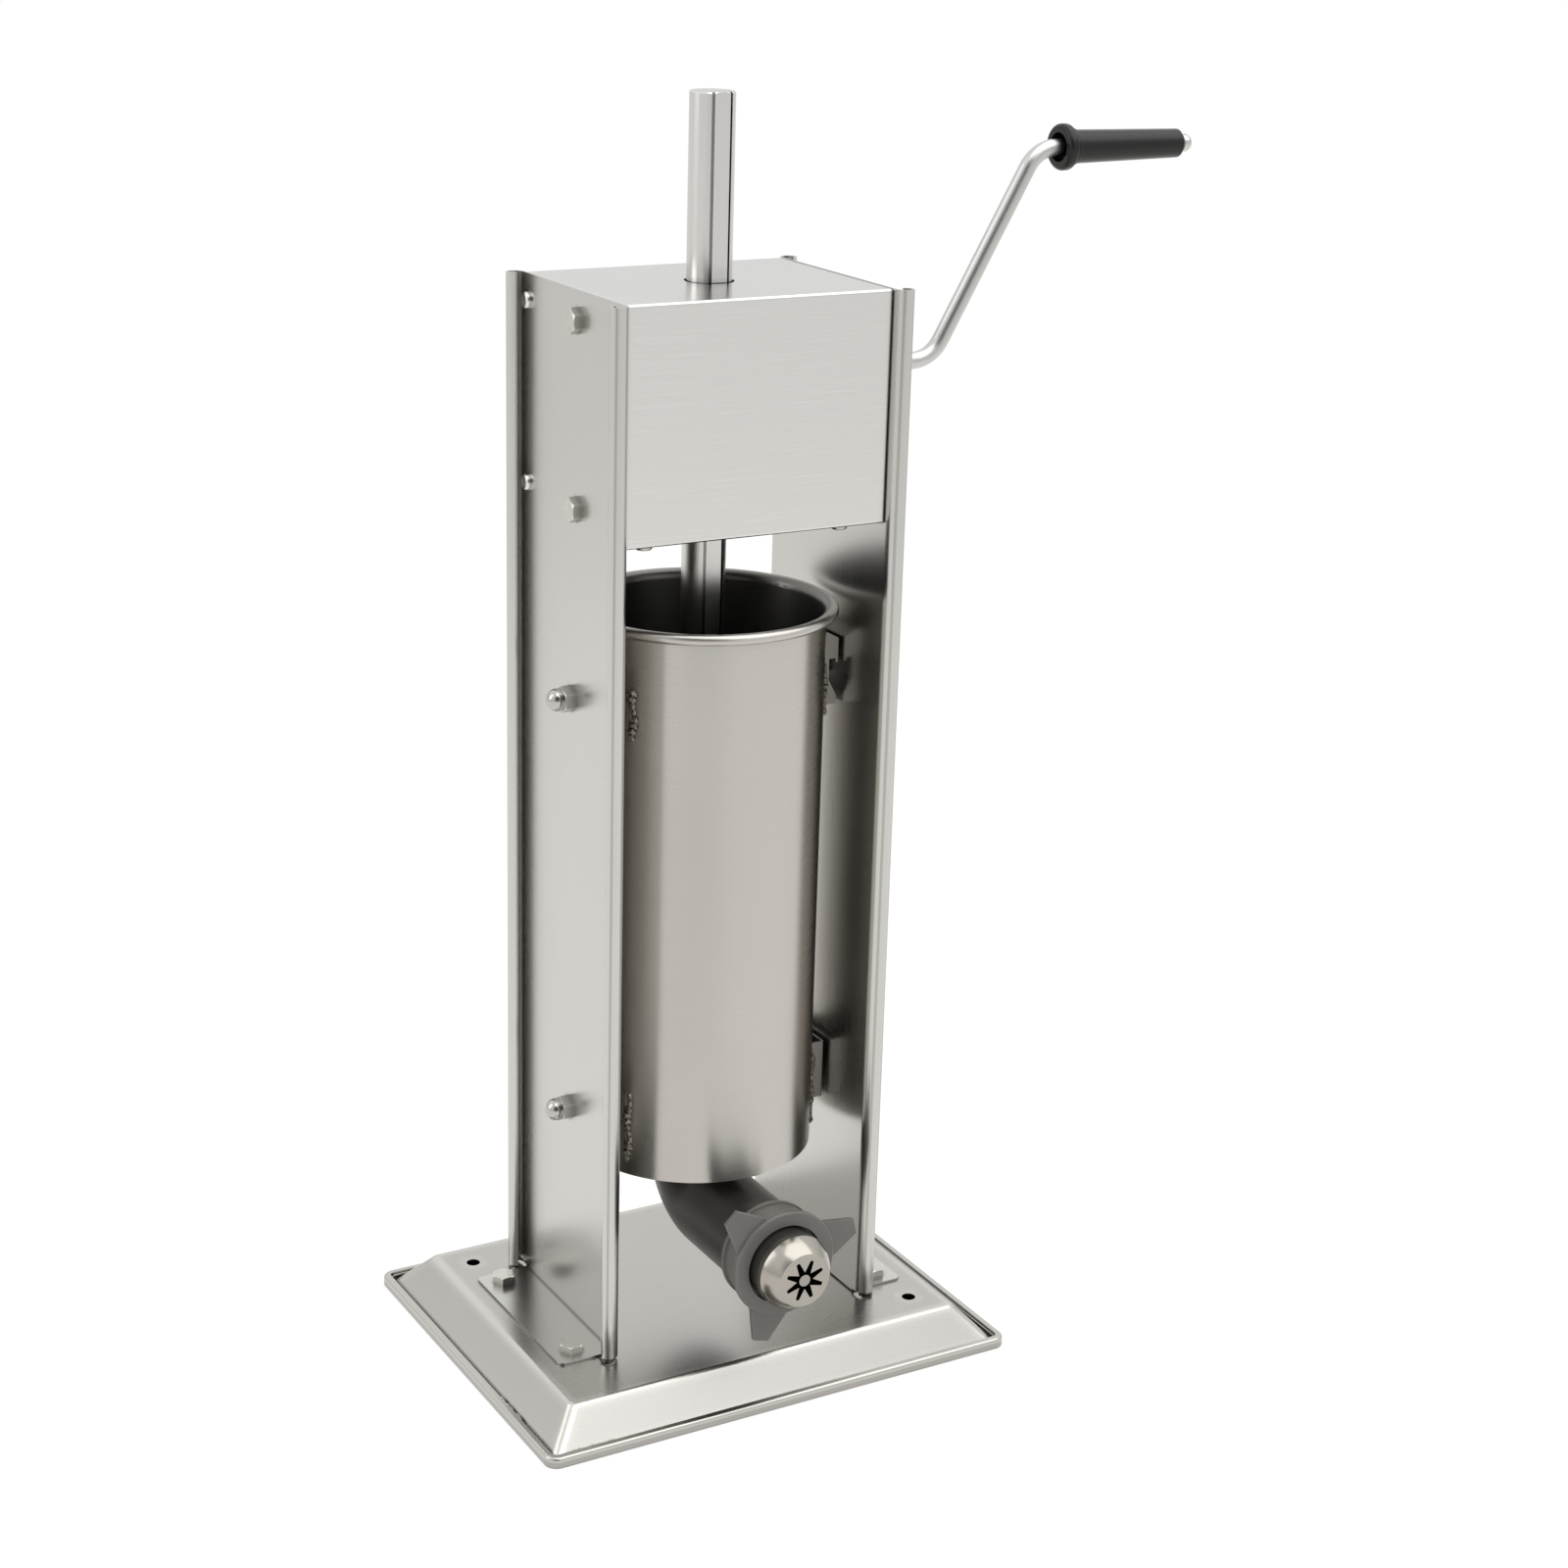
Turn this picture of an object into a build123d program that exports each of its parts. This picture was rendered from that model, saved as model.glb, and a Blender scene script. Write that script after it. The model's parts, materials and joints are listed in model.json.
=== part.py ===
"""Churro maker: a hand-cranked vertical press with a rack, a gearbox and a lift-out filling cylinder.

Millimetres, +Z up, the front faces -Y. The origin is on the bench, under the axis of the rod and cylinder.
The crank turns a small pinion, which drives a large gear. On that gear's shaft a second pinion moves the
toothed rod, and the piston at the rod's foot presses the dough through the elbow and the star nozzle.
"""

import os
from math import acos, atan2, ceil, cos, degrees, pi, radians, sin, sqrt, tan

from build123d import *

# Base: a pressed cover held in the hemmed rim of a flat tray
base_width = 314.8
base_depth = 253.8
base_corner_radius = 8.0
base_sheet = 1.2
rim_height = 7.0
rim_width = 4.4
rim_groove = 1.1
rim_foot_radius = 0.8
plateau_width = 264.2
plateau_depth = 205.4
plateau_height = 24.1
plateau_corner_radius = 5.0
plateau_bend_radius = 3.5
fixing_hole_x = 112.0
fixing_hole_y = 82.0
fixing_hole_radius = 4.25

# Columns: one bent sheet each, with a rolled curl along both upright edges and a foot turned outward
column_gap = 167.0
column_depth = 140.6
column_sheet = 1.5
curl_radius = 4.5
curl_bend_radius = 6.6
curl_foot_gap = 0.9
column_foot_width = 36.0
column_foot_length = 120.6
column_foot_corner_radius = 4.0
column_foot_bend_radius = 2.8
foot_weld_radius = 3.4
foot_bolt_x = 106.0
foot_bolt_y = 48.5
foot_bolt_length = 16.0

# Fasteners
bolt_radius = 4.0
bolt_head_flats = 13.0
bolt_head_height = 5.3
bolt_hole_clearance = 0.5
thread_clearance = 0.03
nut_height = 6.5
acorn_flats = 14.0
acorn_hex_height = 6.7
acorn_dome_radius = 6.75
acorn_height = 15.0
acorn_wall = 2.0
screw_radius = 2.5
screw_head_radius = 5.0
screw_head_height = 2.6
screw_length = 8.0
screw_hole_clearance = 0.25
screw_nut_radius = 3.3
screw_nut_height = 3.0
screw_slot_width = 1.1
screw_slot_depth = 1.0

# Gearbox casing
cover_front = 62.6
cover_height = 134.0
mouth_gap = 51.55
cover_sheet = 1.2
cover_bend_radius = 1.8
cover_side_reach = 8.0
cover_lip = 16.0
rod_hole_gap = 1.3
rear_cover_flange = 11.0
rear_screw_inset = 4.6
rear_screw_top_drop = 15.3
rear_screw_bottom_rise = 13.7
floor_screw_left_x = -67.4
floor_screw_right_x = 57.8
floor_screw_inset = 8.5

# Guide blocks that carry the rod between the columns
guide_block_height = 18.0
guide_block_front = 24.0
guide_block_back = 18.0
guide_block_drop = 7.8
guide_bolt_y = -6.0
guide_bolt_length = 20.0
running_gap = 0.05

# Toothed rod and piston
rod_radius = 13.0
rod_rise = 104.2
rod_chamfer = 0.8
rod_land_depth = 12.0
rod_groove_angle = 26.0
rod_groove_width = 1.7
rod_groove_depth = 2.2
rod_foot = 252.0
rod_stub_radius = 6.0
piston_rim_gap = 2.25
travel_down = 91.0
rack_spare_teeth = 2
piston_gap = 1.0
piston_height = 18.0
piston_edge_radius = 2.0
seal_gap = 0.3
seal_height = 6.0
seal_depth = 4.0
piston_nut_flats = 18.0
piston_nut_height = 8.0
rod_end_length = 1.0

# Gears
pressure_angle = radians(20.0)
tooth_thinning = 0.16
tooth_tip_clearance = 0.45
rack_module = 2.5
rack_pitch_depth = 8.5
rack_addendum = 2.0
rack_pinion_teeth = 14
rack_pinion_width = 20.0
rack_pinion_drop = 61.3
gear_module = 2.0
large_gear_teeth = 30
large_gear_width = 8.0
large_gear_addendum = 1.6
crank_pinion_teeth = 12
crank_pinion_width = 10.0
crank_rise = 10.0
gear_shaft_radius = 6.0
gear_plate_thickness = 6.0
gear_plate_gap = 3.5
gear_plate_back = 44.0
gear_side_gap = 5.0
shaft_end_length = 4.0
bush_wall = 2.5
bush_flange_wall = 5.0
bush_flange = 1.5
hub_press_gap = 0.02

# Crank and grip
crank_radius = 5.0
crank_knee = 141.0
crank_shoulder = 209.0
crank_lift = 120.0
crank_bend_radius = 22.0
collar_radius = 9.5
collar_width = 6.0
collar_gap = 0.4
grip_start = 224.0
grip_end = 313.0
grip_flange_radius = 13.6
grip_flange_width = 7.0
grip_flange_rounding = 2.5
grip_neck_radius = 9.85
grip_bead_radius = 10.9
grip_bead_width = 3.4
grip_end_radius = 8.5
grip_end_chamfer = 3.0
grip_mouth_radius = 8.6
grip_mouth_depth = 13.0
grip_end_gap = 0.3
stop_ring_radius = 7.5
stop_ring_width = 3.0
cap_nut_radius = 5.4
cap_nut_length = 7.0
cap_nut_stub_radius = 3.0

# Filling cylinder
bore_radius = 71.0
cylinder_wall = 1.5
cylinder_bottom = 127.5
rim_curl_height = 464.5
rim_curl_radius = 3.25
rim_bend_radius = 5.5
rim_curl_turn = 225.0
bottom_plate = 1.5

# Brackets on the cylinder and the studs they hang on
bracket_width = 40.0
bracket_sheet = 1.5
saddle_half_angle = 28.0
stud_rim_drop = 46.0
stud_bottom_rise = 34.0
stud_reach = 4.4
bracket_web_gap = 2.0
hook_top_rise = 24.5
hook_jaw_rise = 9.5
hook_seat_drop = 3.5
hook_ramp_drop = 13.5
hook_bottom_drop = 18.5
hook_spine = 3.0
hook_lip_width = 1.6
hook_lip_drop = 2.2
channel_half_height = 18.5
channel_tail_drop = 25.5
slot_side_gap = 0.4
slot_top_gap = 0.3
hook_weld_count = 3
channel_weld_count = 4
bracket_weld_radius = 2.6

# Outlet elbow, wing nut and nozzle
outlet_height = 91.0
elbow_radius = 27.0
elbow_wall = 3.0
elbow_bend_radius = 34.0
nozzle_front = 140.8
nut_front = 118.0
nut_ring_radius = 33.3
nut_ring_thickness = 3.5
nut_edge_chamfer = 0.8
nut_opening_radius = 24.8
nut_lip_thickness = 4.5
nut_skirt_radius = 30.0
nut_skirt_end = 96.0
nut_bead_radius = 31.2
nut_bead_width = 2.8
nut_thread_gap = 0.35
wing_recess = 2.5
wing_thickness = 3.0
wing_reach = 51.0
wing_count = 3
wing_angle = 14.3
wing_tip_half_angle = 5.7
wing_root_half_angle = 30.0
seat_gap = 0.3
nozzle_flange_thickness = 2.5
nozzle_flange_gap = 0.9
nozzle_barrel_radius = 23.0
nozzle_wall = 2.0
nozzle_sleeve_reach = 7.0
cap_step = 0.2
cap_wall = 1.6
cap_shoulder = 11.0
cap_face_radius = 16.8
star_arms = 8
star_angle = 23.0
star_tip_radius = 12.8
star_notch_radius = 5.4
star_tip_width = 2.2
star_tip_rounding = 0.8
nozzle_pin_radius = 3.65
nozzle_pin_length = 16.0
spider_legs = 3
spider_leg_width = 2.0
spider_leg_depth = 6.0

# Places worked out from the sizes above
rim_top = rim_curl_height + rim_curl_radius
cover_bottom = rim_top + mouth_gap
column_top = cover_bottom + cover_height
rod_top = column_top + rod_rise
rack_pinion_height = column_top - rack_pinion_drop
stud_upper_height = rim_curl_height - stud_rim_drop
stud_lower_height = cylinder_bottom + stud_bottom_rise
hook_top = stud_upper_height + hook_top_rise
hook_jaw = stud_upper_height + hook_jaw_rise
hook_seat = stud_upper_height - hook_seat_drop
hook_ramp_foot = stud_upper_height - hook_ramp_drop
hook_bottom = stud_upper_height - hook_bottom_drop
channel_top = stud_lower_height + channel_half_height
channel_bottom = stud_lower_height - channel_half_height
channel_tail = stud_lower_height - channel_tail_drop
piston_nut_bottom = rod_foot - piston_height - piston_nut_height
rod_end = piston_nut_bottom - rod_end_length
travel_up = rim_top + piston_rim_gap - rod_end
web_inside = column_gap / 2
web_outside = web_inside + column_sheet
foot_top = plateau_height + column_sheet
curl_foot = foot_top + curl_foot_gap
bolt_hole_radius = bolt_radius + bolt_hole_clearance
screw_hole_radius = screw_radius + screw_hole_clearance
floor_bottom = cover_bottom + cover_sheet
floor_top = floor_bottom + cover_sheet
cover_inside = web_inside - cover_sheet
lower_block_bottom = floor_top
lower_block_top = lower_block_bottom + guide_block_height
upper_block_top = column_top - guide_block_drop
upper_block_bottom = upper_block_top - guide_block_height
lower_bolt_height = lower_block_bottom + guide_block_height / 2
upper_bolt_height = upper_block_top - guide_block_height / 2
rear_screw_y = cover_front - rear_screw_inset
rear_screw_heights = (column_top - rear_screw_top_drop, cover_bottom + rear_screw_bottom_rise)
floor_screw_y = cover_front - floor_screw_inset
rack_pinion_pitch_radius = rack_module * rack_pinion_teeth / 2
gear_shaft_y = rack_pitch_depth + rack_pinion_pitch_radius
gear_centre_distance = gear_module * (large_gear_teeth + crank_pinion_teeth) / 2
crank_y = gear_shaft_y - sqrt(gear_centre_distance**2 - crank_rise**2)
crank_height = rack_pinion_height + crank_rise
left_plate_x = -rack_pinion_width / 2 - gear_plate_gap - gear_plate_thickness
right_plate_x = rack_pinion_width / 2 + gear_plate_gap
large_gear_x = right_plate_x + gear_plate_thickness + gear_side_gap
crank_pinion_x = large_gear_x - (crank_pinion_width - large_gear_width) / 2
crank_start = right_plate_x - 1.0
grip_height = crank_height + crank_lift
cylinder_outside = bore_radius + cylinder_wall
stud_heights = (stud_upper_height, stud_lower_height)
bracket_outside = web_inside - bracket_web_gap
elbow_end = nut_front - nut_lip_thickness - nozzle_flange_thickness - 2 * seat_gap
nozzle_flange_back = elbow_end + seat_gap
cap_back = nut_front + nozzle_sleeve_reach


# Shapes that repeat

def bar_x(start, end, y, z, radius):
    """Round bar along X."""
    return Pos((start + end) / 2, y, z) * Rot(0, 90, 0) * Cylinder(radius, abs(end - start))


def bar_y(start, end, x, z, radius):
    """Round bar along Y."""
    return Pos(x, (start + end) / 2, z) * Rot(90, 0, 0) * Cylinder(radius, abs(end - start))


def bar_z(start, end, x, y, radius):
    """Round bar along Z."""
    return Pos(x, y, (start + end) / 2) * Cylinder(radius, abs(end - start))


def block(x0, x1, y0, y1, z0, z1):
    """Rectangular block between two corners."""
    return Pos((x0 + x1) / 2, (y0 + y1) / 2, (z0 + z1) / 2) * Box(abs(x1 - x0), abs(y1 - y0), abs(z1 - z0))


def rounded_slab(width, depth, radius, bottom, top):
    """Upright slab with round corners, centred on the rod's axis."""
    return Pos(0, 0, bottom) * extrude(RectangleRounded(width, depth, radius), top - bottom)


def in_side_view(points):
    """Face in the YZ plane from points given as (y, z)."""
    return make_face(Plane.YZ * Polyline(*points, close=True))


def in_front_view(points):
    """Face in the XZ plane from points given as (x, z)."""
    return make_face(Polyline(*[(x, 0, z) for x, z in points], close=True))


def turned(points, axis=Axis.Z):
    """Solid of revolution about Z from points given as (radius, z)."""
    return revolve(in_front_view(points), axis)


def both_sides(solids):
    """The given right-hand solids and their mirror images on the left."""
    return list(solids) + [mirror(solid, Plane.YZ) for solid in solids]


def hex_prism(flats, height, chamfer):
    """Hexagon standing on Z = 0, with its upper corners turned off."""
    corner_radius = flats / 2 / cos(pi / 6)
    prism = extrude(RegularPolygon(flats / 2, 6, major_radius=False), height)
    turned_blank = turned([(0, 0), (corner_radius, 0), (corner_radius, height - chamfer / 2),
                           (corner_radius - chamfer, height), (0, height)])
    return prism & turned_blank


def hex_bolt(shank_length):
    """Hexagon bolt along Z: the head above Z = 0 and the shank below."""
    head = hex_prism(bolt_head_flats, bolt_head_height, 1.0)
    return head + bar_z(-shank_length, 0, 0, 0, bolt_radius)


def hex_nut():
    """Plain nut below Z = 0."""
    nut = Pos(0, 0, -nut_height) * hex_prism(bolt_head_flats, nut_height, 1.0)
    return nut - bar_z(-nut_height, 0, 0, 0, bolt_radius + thread_clearance)


def acorn_nut():
    """Domed nut that stands on Z = 0 and closes over a stud's end."""
    neck_top = acorn_height - acorn_dome_radius
    dome = Pos(0, 0, neck_top) * Sphere(acorn_dome_radius)
    skirt = bar_z(0, neck_top, 0, 0, acorn_dome_radius - 0.15)
    body = hex_prism(acorn_flats, acorn_hex_height, 1.2) + skirt + (dome & bar_z(0, acorn_height, 0, 0, 20))
    return body - bar_z(0, acorn_height - acorn_wall, 0, 0, bolt_radius + thread_clearance)


def pan_screw(shank_length):
    """Slotted pan screw along Z: the head above Z = 0 and the shank below."""
    head = bar_z(0, screw_head_height, 0, 0, screw_head_radius)
    head = fillet(head.edges().group_by(Axis.Z)[-1], screw_head_height * 0.6)
    slot_floor = screw_head_height - screw_slot_depth
    half_slot = screw_slot_width / 2
    slot = block(-screw_head_radius, screw_head_radius, -half_slot, half_slot, slot_floor,
                 screw_head_height + 1)
    return head - slot + bar_z(-shank_length, 0, 0, 0, screw_radius)


def screw_nut():
    """Round pressed-in nut below Z = 0 for a pan screw."""
    nut = bar_z(-screw_nut_height, 0, 0, 0, screw_nut_radius)
    return nut - bar_z(-screw_nut_height, 0, 0, 0, screw_radius + thread_clearance)


def facing_right(solid, x, y, z):
    """A fastener drawn along Z, turned so that its head faces +X."""
    return Pos(x, y, z) * Rot(0, 90, 0) * solid


def weld_bead(x, y, z, radius, stretch=(1.0, 1.0, 1.0)):
    """Flattened drop of weld metal."""
    return Pos(x, y, z) * scale(Sphere(radius), by=stretch)


def involute_angle(radius, base_radius):
    """Angle that an involute has turned by the time it reaches a radius."""
    slope = acos(min(1.0, base_radius / radius))
    return tan(slope) - slope


def gear_face(module, teeth, addendum, root_depth, phase):
    """Outline of a spur gear in its own plane, with a tooth centred on the phase angle in degrees."""
    pitch_radius = module * teeth / 2
    base_radius = pitch_radius * cos(pressure_angle)
    root_radius = pitch_radius - root_depth
    tip_radius = pitch_radius + addendum
    flank_start = max(base_radius, root_radius)
    thickness_angle = pi / (2 * teeth) - tooth_thinning / (2 * pitch_radius)
    pitch_involute = involute_angle(pitch_radius, base_radius)

    def point(radius, side, centre):
        half_angle = thickness_angle + pitch_involute - involute_angle(radius, base_radius)
        angle = centre + side * half_angle
        return (radius * cos(angle), radius * sin(angle))

    def root_point(side, centre):
        half_angle = thickness_angle + pitch_involute - involute_angle(flank_start, base_radius)
        angle = centre + side * half_angle
        return (root_radius * cos(angle), root_radius * sin(angle))

    edges = []
    middle_radius = (flank_start + tip_radius) / 2
    for index in range(teeth):
        centre = radians(phase) + 2 * pi * index / teeth
        next_centre = centre + 2 * pi / teeth
        gap_middle = centre + pi / teeth
        for side in (-1, 1):
            if flank_start > root_radius:
                edges.append(Line(root_point(side, centre), point(flank_start, side, centre)))
            edges.append(ThreePointArc(point(flank_start, side, centre), point(middle_radius, side, centre),
                                       point(tip_radius, side, centre)))
        tip_middle = (tip_radius * cos(centre), tip_radius * sin(centre))
        edges.append(ThreePointArc(point(tip_radius, -1, centre), tip_middle, point(tip_radius, 1, centre)))
        root_middle = (root_radius * cos(gap_middle), root_radius * sin(gap_middle))
        edges.append(ThreePointArc(root_point(1, centre), root_middle, root_point(-1, next_centre)))
    return make_face(edges)


def gear_on_x(face, x, y, z, width, bore):
    """Spur gear with its axis along X and a plain bore."""
    blank = extrude(Plane.YZ.offset(x) * Pos(y, z, 0) * face, width)
    return blank - bar_x(x - 1, x + width + 1, y, z, bore)


# Base

def make_base_tray():
    rim_inside_width = base_width - 2 * rim_width
    rim_inside_depth = base_depth - 2 * rim_width
    tray = rounded_slab(base_width, base_depth, base_corner_radius, 0, rim_height)
    tray = fillet(tray.edges().group_by(Axis.Z)[-1], rim_width * 0.45)
    tray = fillet(tray.edges().group_by(Axis.Z)[0], rim_foot_radius)
    well = rounded_slab(rim_inside_width, rim_inside_depth, base_corner_radius - rim_width, base_sheet,
                        rim_height + 1)
    hem_slot = rounded_slab(base_width - 2 * base_sheet, base_depth - 2 * base_sheet,
                            base_corner_radius - base_sheet,
                            base_sheet, 2 * base_sheet)
    tray = tray - well - hem_slot
    for x, y in fixing_places():
        tray -= bar_z(-1, rim_height, x, y, fixing_hole_radius)
    return tray


def fixing_places():
    return ((-fixing_hole_x, fixing_hole_y), (fixing_hole_x, -fixing_hole_y))


def foot_bolt_places():
    return [(x, y) for x in (-foot_bolt_x, foot_bolt_x) for y in (-foot_bolt_y, foot_bolt_y)]


def bevelled_block(inset, bottom, top):
    """The cover's outside, or its inside when given an inset."""
    foot_width = base_width - 2 * (rim_width + rim_groove + inset)
    foot_depth = base_depth - 2 * (rim_width + rim_groove + inset)
    foot = Pos(0, 0, bottom) * RectangleRounded(foot_width, foot_depth, plateau_corner_radius)
    head = Pos(0, 0, top) * RectangleRounded(plateau_width - 2 * inset, plateau_depth - 2 * inset,
                                             plateau_corner_radius)
    return loft([foot, head], ruled=True)


def make_base_cover():
    cover = bevelled_block(0, 2 * base_sheet, plateau_height)
    cover = fillet(cover.edges().group_by(Axis.Z)[-1], plateau_bend_radius)
    flange = rounded_slab(base_width - 2 * base_sheet - 1, base_depth - 2 * base_sheet - 1,
                          base_corner_radius - base_sheet, base_sheet, 2 * base_sheet)
    hollow = bevelled_block(base_sheet * 1.3, 2 * base_sheet, plateau_height - base_sheet)
    hollow_foot = rounded_slab(base_width - 2 * (rim_width + rim_groove + 1.3 * base_sheet),
                               base_depth - 2 * (rim_width + rim_groove + 1.3 * base_sheet),
                               plateau_corner_radius, base_sheet, 2 * base_sheet)
    cover = cover + flange - hollow - hollow_foot
    for x, y in fixing_places():
        cover -= bar_z(0, plateau_height + 1, x, y, fixing_hole_radius)
    for x, y in foot_bolt_places():
        cover -= bar_z(0, plateau_height + 1, x, y, bolt_hole_radius)
    return cover


def make_foot_bolts():
    return [Pos(x, y, foot_top) * hex_bolt(foot_bolt_length) for x, y in foot_bolt_places()]


def make_foot_nuts():
    return [Pos(x, y, plateau_height - base_sheet) * hex_nut() for x, y in foot_bolt_places()]


# Columns

def column_outline():
    """Section of the right column: the flat web and its two rolled edges."""
    front = -column_depth / 2
    bend_x = web_inside + curl_bend_radius
    bend_y = front + curl_bend_radius
    curl_y = front + curl_radius
    inner_bend = curl_bend_radius - column_sheet
    inner_curl = curl_radius - column_sheet
    front_edges = [
        CenterArc((bend_x, bend_y), curl_bend_radius, 180, 90),
        CenterArc((bend_x, curl_y), curl_radius, 270, 180),
        Line((bend_x, curl_y + curl_radius), (bend_x, curl_y + inner_curl)),
        CenterArc((bend_x, curl_y), inner_curl, 270, 180),
        CenterArc((bend_x, bend_y), inner_bend, 180, 90),
    ]
    rear_edges = [mirror(edge, Plane.XZ) for edge in front_edges]
    webs = [Line((x, bend_y), (x, -bend_y)) for x in (web_inside, web_outside)]
    return make_face(front_edges + rear_edges + webs)


def web_bolt_holes():
    """Holes that both webs share, as (y, z, radius)."""
    holes = [(guide_bolt_y, height, bolt_hole_radius) for height in (lower_bolt_height, upper_bolt_height)]
    holes += [(rear_screw_y, height, screw_hole_radius) for height in rear_screw_heights]
    holes += [(0, height, bolt_hole_radius) for height in stud_heights]
    return holes


def make_plain_column():
    column = Pos(0, 0, curl_foot) * extrude(column_outline(), column_top - curl_foot)
    half_foot = column_foot_length / 2
    column += block(web_inside, web_outside, -half_foot, half_foot, plateau_height, curl_foot)
    foot = block(web_inside, web_inside + column_foot_width, -half_foot, half_foot, plateau_height,
                 foot_top)
    foot = fillet(foot.edges().filter_by(Axis.Z).group_by(Axis.X)[-1], column_foot_corner_radius)
    column += foot
    bends = column.edges().filter_by(Axis.Y)
    outer_bend = bends.group_by(Axis.Z)[0].sort_by(Axis.X)[0]
    column = fillet(outer_bend, column_foot_bend_radius - column_sheet)
    for y, z, radius in web_bolt_holes():
        column -= bar_x(web_inside - 1, web_outside + 1, y, z, radius)
    for y in (-foot_bolt_y, foot_bolt_y):
        column -= bar_z(plateau_height - 1, foot_top + 1, foot_bolt_x, y, bolt_hole_radius)
    return column


def make_left_column():
    return mirror(make_plain_column(), Plane.YZ)


def make_right_column():
    hole = bar_x(web_inside - 1, web_outside + 1, crank_y, crank_height, crank_radius + bush_wall)
    return make_plain_column() - hole


def make_column_foot_welds():
    """Drops of weld that tie the ends of the curls to the base."""
    bead_x = web_inside + curl_bend_radius
    bead_y = column_depth / 2 - curl_radius
    radius = foot_weld_radius
    beads = []
    for x in (-bead_x, bead_x):
        for y in (-bead_y, bead_y):
            ball = weld_bead(x, y, plateau_height, radius, (1.1, 1.0, 0.72))
            beads.append(ball & bar_z(plateau_height, curl_foot, x, y, 2 * radius))
    return beads


# Gearbox casing

def make_gearbox_cover():
    cover = block(-web_inside, web_inside, -cover_front, cover_front, cover_bottom, column_top)
    bends = cover.edges().filter_by(Axis.X) + cover.edges().filter_by(Axis.Z)
    front_bends = bends.group_by(Axis.Y)[0]
    cover = fillet(front_bends + cover.edges().filter_by(Axis.Y).group_by(Axis.Z)[-1], cover_bend_radius)
    cover -= block(-cover_inside, cover_inside, cover_sheet - cover_front, cover_front + 1,
                   floor_bottom, column_top - cover_sheet)
    beyond = web_inside + 1
    cover -= block(-beyond, beyond, cover_side_reach, cover_front + 1, cover_bottom - 1,
                   column_top - cover_bend_radius)
    cover -= block(-beyond, beyond, cover_lip - cover_front, cover_front + 1, cover_bottom - 1,
                   floor_bottom)
    cover -= bar_z(column_top - 5, column_top + 1, 0, 0, rod_radius + rod_hole_gap)
    for height in (lower_bolt_height, upper_bolt_height):
        cover -= bar_x(-beyond, beyond, guide_bolt_y, height, bolt_hole_radius)
    cover -= bar_x(0, beyond, crank_y, crank_height, crank_radius + bush_flange_wall + 1)
    for x in (floor_screw_left_x, floor_screw_right_x):
        cover -= bar_z(cover_bottom - 1, floor_top, x, -floor_screw_y, screw_hole_radius)
    return cover


def make_rear_cover():
    seam = column_top - cover_bend_radius
    cover = block(-web_inside, web_inside, cover_front - rear_cover_flange, cover_front, cover_bottom, seam)
    upright = cover.edges().filter_by(Axis.Z).group_by(Axis.Y)[-1]
    cover = fillet(upright, cover_bend_radius)
    cover -= block(-cover_inside, cover_inside, 0, cover_front - cover_sheet, floor_bottom, column_top)
    for height in rear_screw_heights:
        cover -= bar_x(-web_inside - 1, web_inside + 1, rear_screw_y, height, screw_hole_radius)
    for x in (floor_screw_left_x, floor_screw_right_x):
        cover -= bar_z(cover_bottom - 1, floor_top, x, floor_screw_y, screw_hole_radius)
    return cover


def make_gearbox_floor():
    edge = cover_front - cover_sheet
    floor = block(-cover_inside, cover_inside, -edge, edge, floor_bottom, floor_top)
    floor -= bar_z(floor_bottom - 1, floor_top + 1, 0, 0, rod_radius + rod_hole_gap)
    for x in (floor_screw_left_x, floor_screw_right_x):
        for y in (-floor_screw_y, floor_screw_y):
            floor -= bar_z(floor_bottom - 1, floor_top + 1, x, y, screw_hole_radius)
    return floor


def make_floor_screws():
    screw = Rot(180, 0, 0) * pan_screw(screw_length)
    places = [(x, y) for x in (floor_screw_left_x, floor_screw_right_x) for y in (-floor_screw_y,
                                                                                  floor_screw_y)]
    return [Pos(x, y, cover_bottom) * screw for x, y in places]


def make_floor_nuts():
    places = [(x, y) for x in (floor_screw_left_x, floor_screw_right_x) for y in (-floor_screw_y,
                                                                                  floor_screw_y)]
    return [Pos(x, y, floor_top + screw_nut_height) * screw_nut() for x, y in places]


def make_rear_cover_screws():
    screw = pan_screw(screw_length)
    return both_sides([facing_right(screw, web_outside, rear_screw_y,
                                    height) for height in rear_screw_heights])


def make_rear_cover_nuts():
    return both_sides([facing_right(screw_nut(), cover_inside, rear_screw_y,
                                    height) for height in rear_screw_heights])


# Guide blocks and what they carry

def make_guide_block(bottom):
    guide = block(-cover_inside, cover_inside, -guide_block_front, guide_block_back, bottom,
                  bottom + guide_block_height)
    guide = chamfer(guide.edges().filter_by(Axis.X), 1.0)
    guide -= bar_z(bottom - 1, bottom + guide_block_height + 1, 0, 0, rod_radius + running_gap)
    middle = bottom + guide_block_height / 2
    depth = cover_inside - guide_bolt_length - 2
    for start, end in ((-cover_inside - 1, -depth), (depth, cover_inside + 1)):
        guide -= bar_x(start, end, guide_bolt_y, middle, bolt_radius + thread_clearance)
    return guide


def make_guide_bolts():
    heights = (lower_bolt_height, upper_bolt_height)
    return both_sides([facing_right(hex_bolt(guide_bolt_length), web_outside, guide_bolt_y, height)
                       for height in heights])


def make_gear_plate(x):
    """Upright plate between the guide blocks, behind which the gear shaft runs."""
    end = x + gear_plate_thickness
    plate = block(x, end, -guide_block_front, gear_plate_back, lower_block_top, upper_block_bottom)
    plate = fillet(plate.edges().filter_by(Axis.X).group_by(Axis.Y)[-1], 6.0)
    return plate - bar_x(x - 1, end + 1, gear_shaft_y, rack_pinion_height, gear_shaft_radius + bush_wall)


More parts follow.
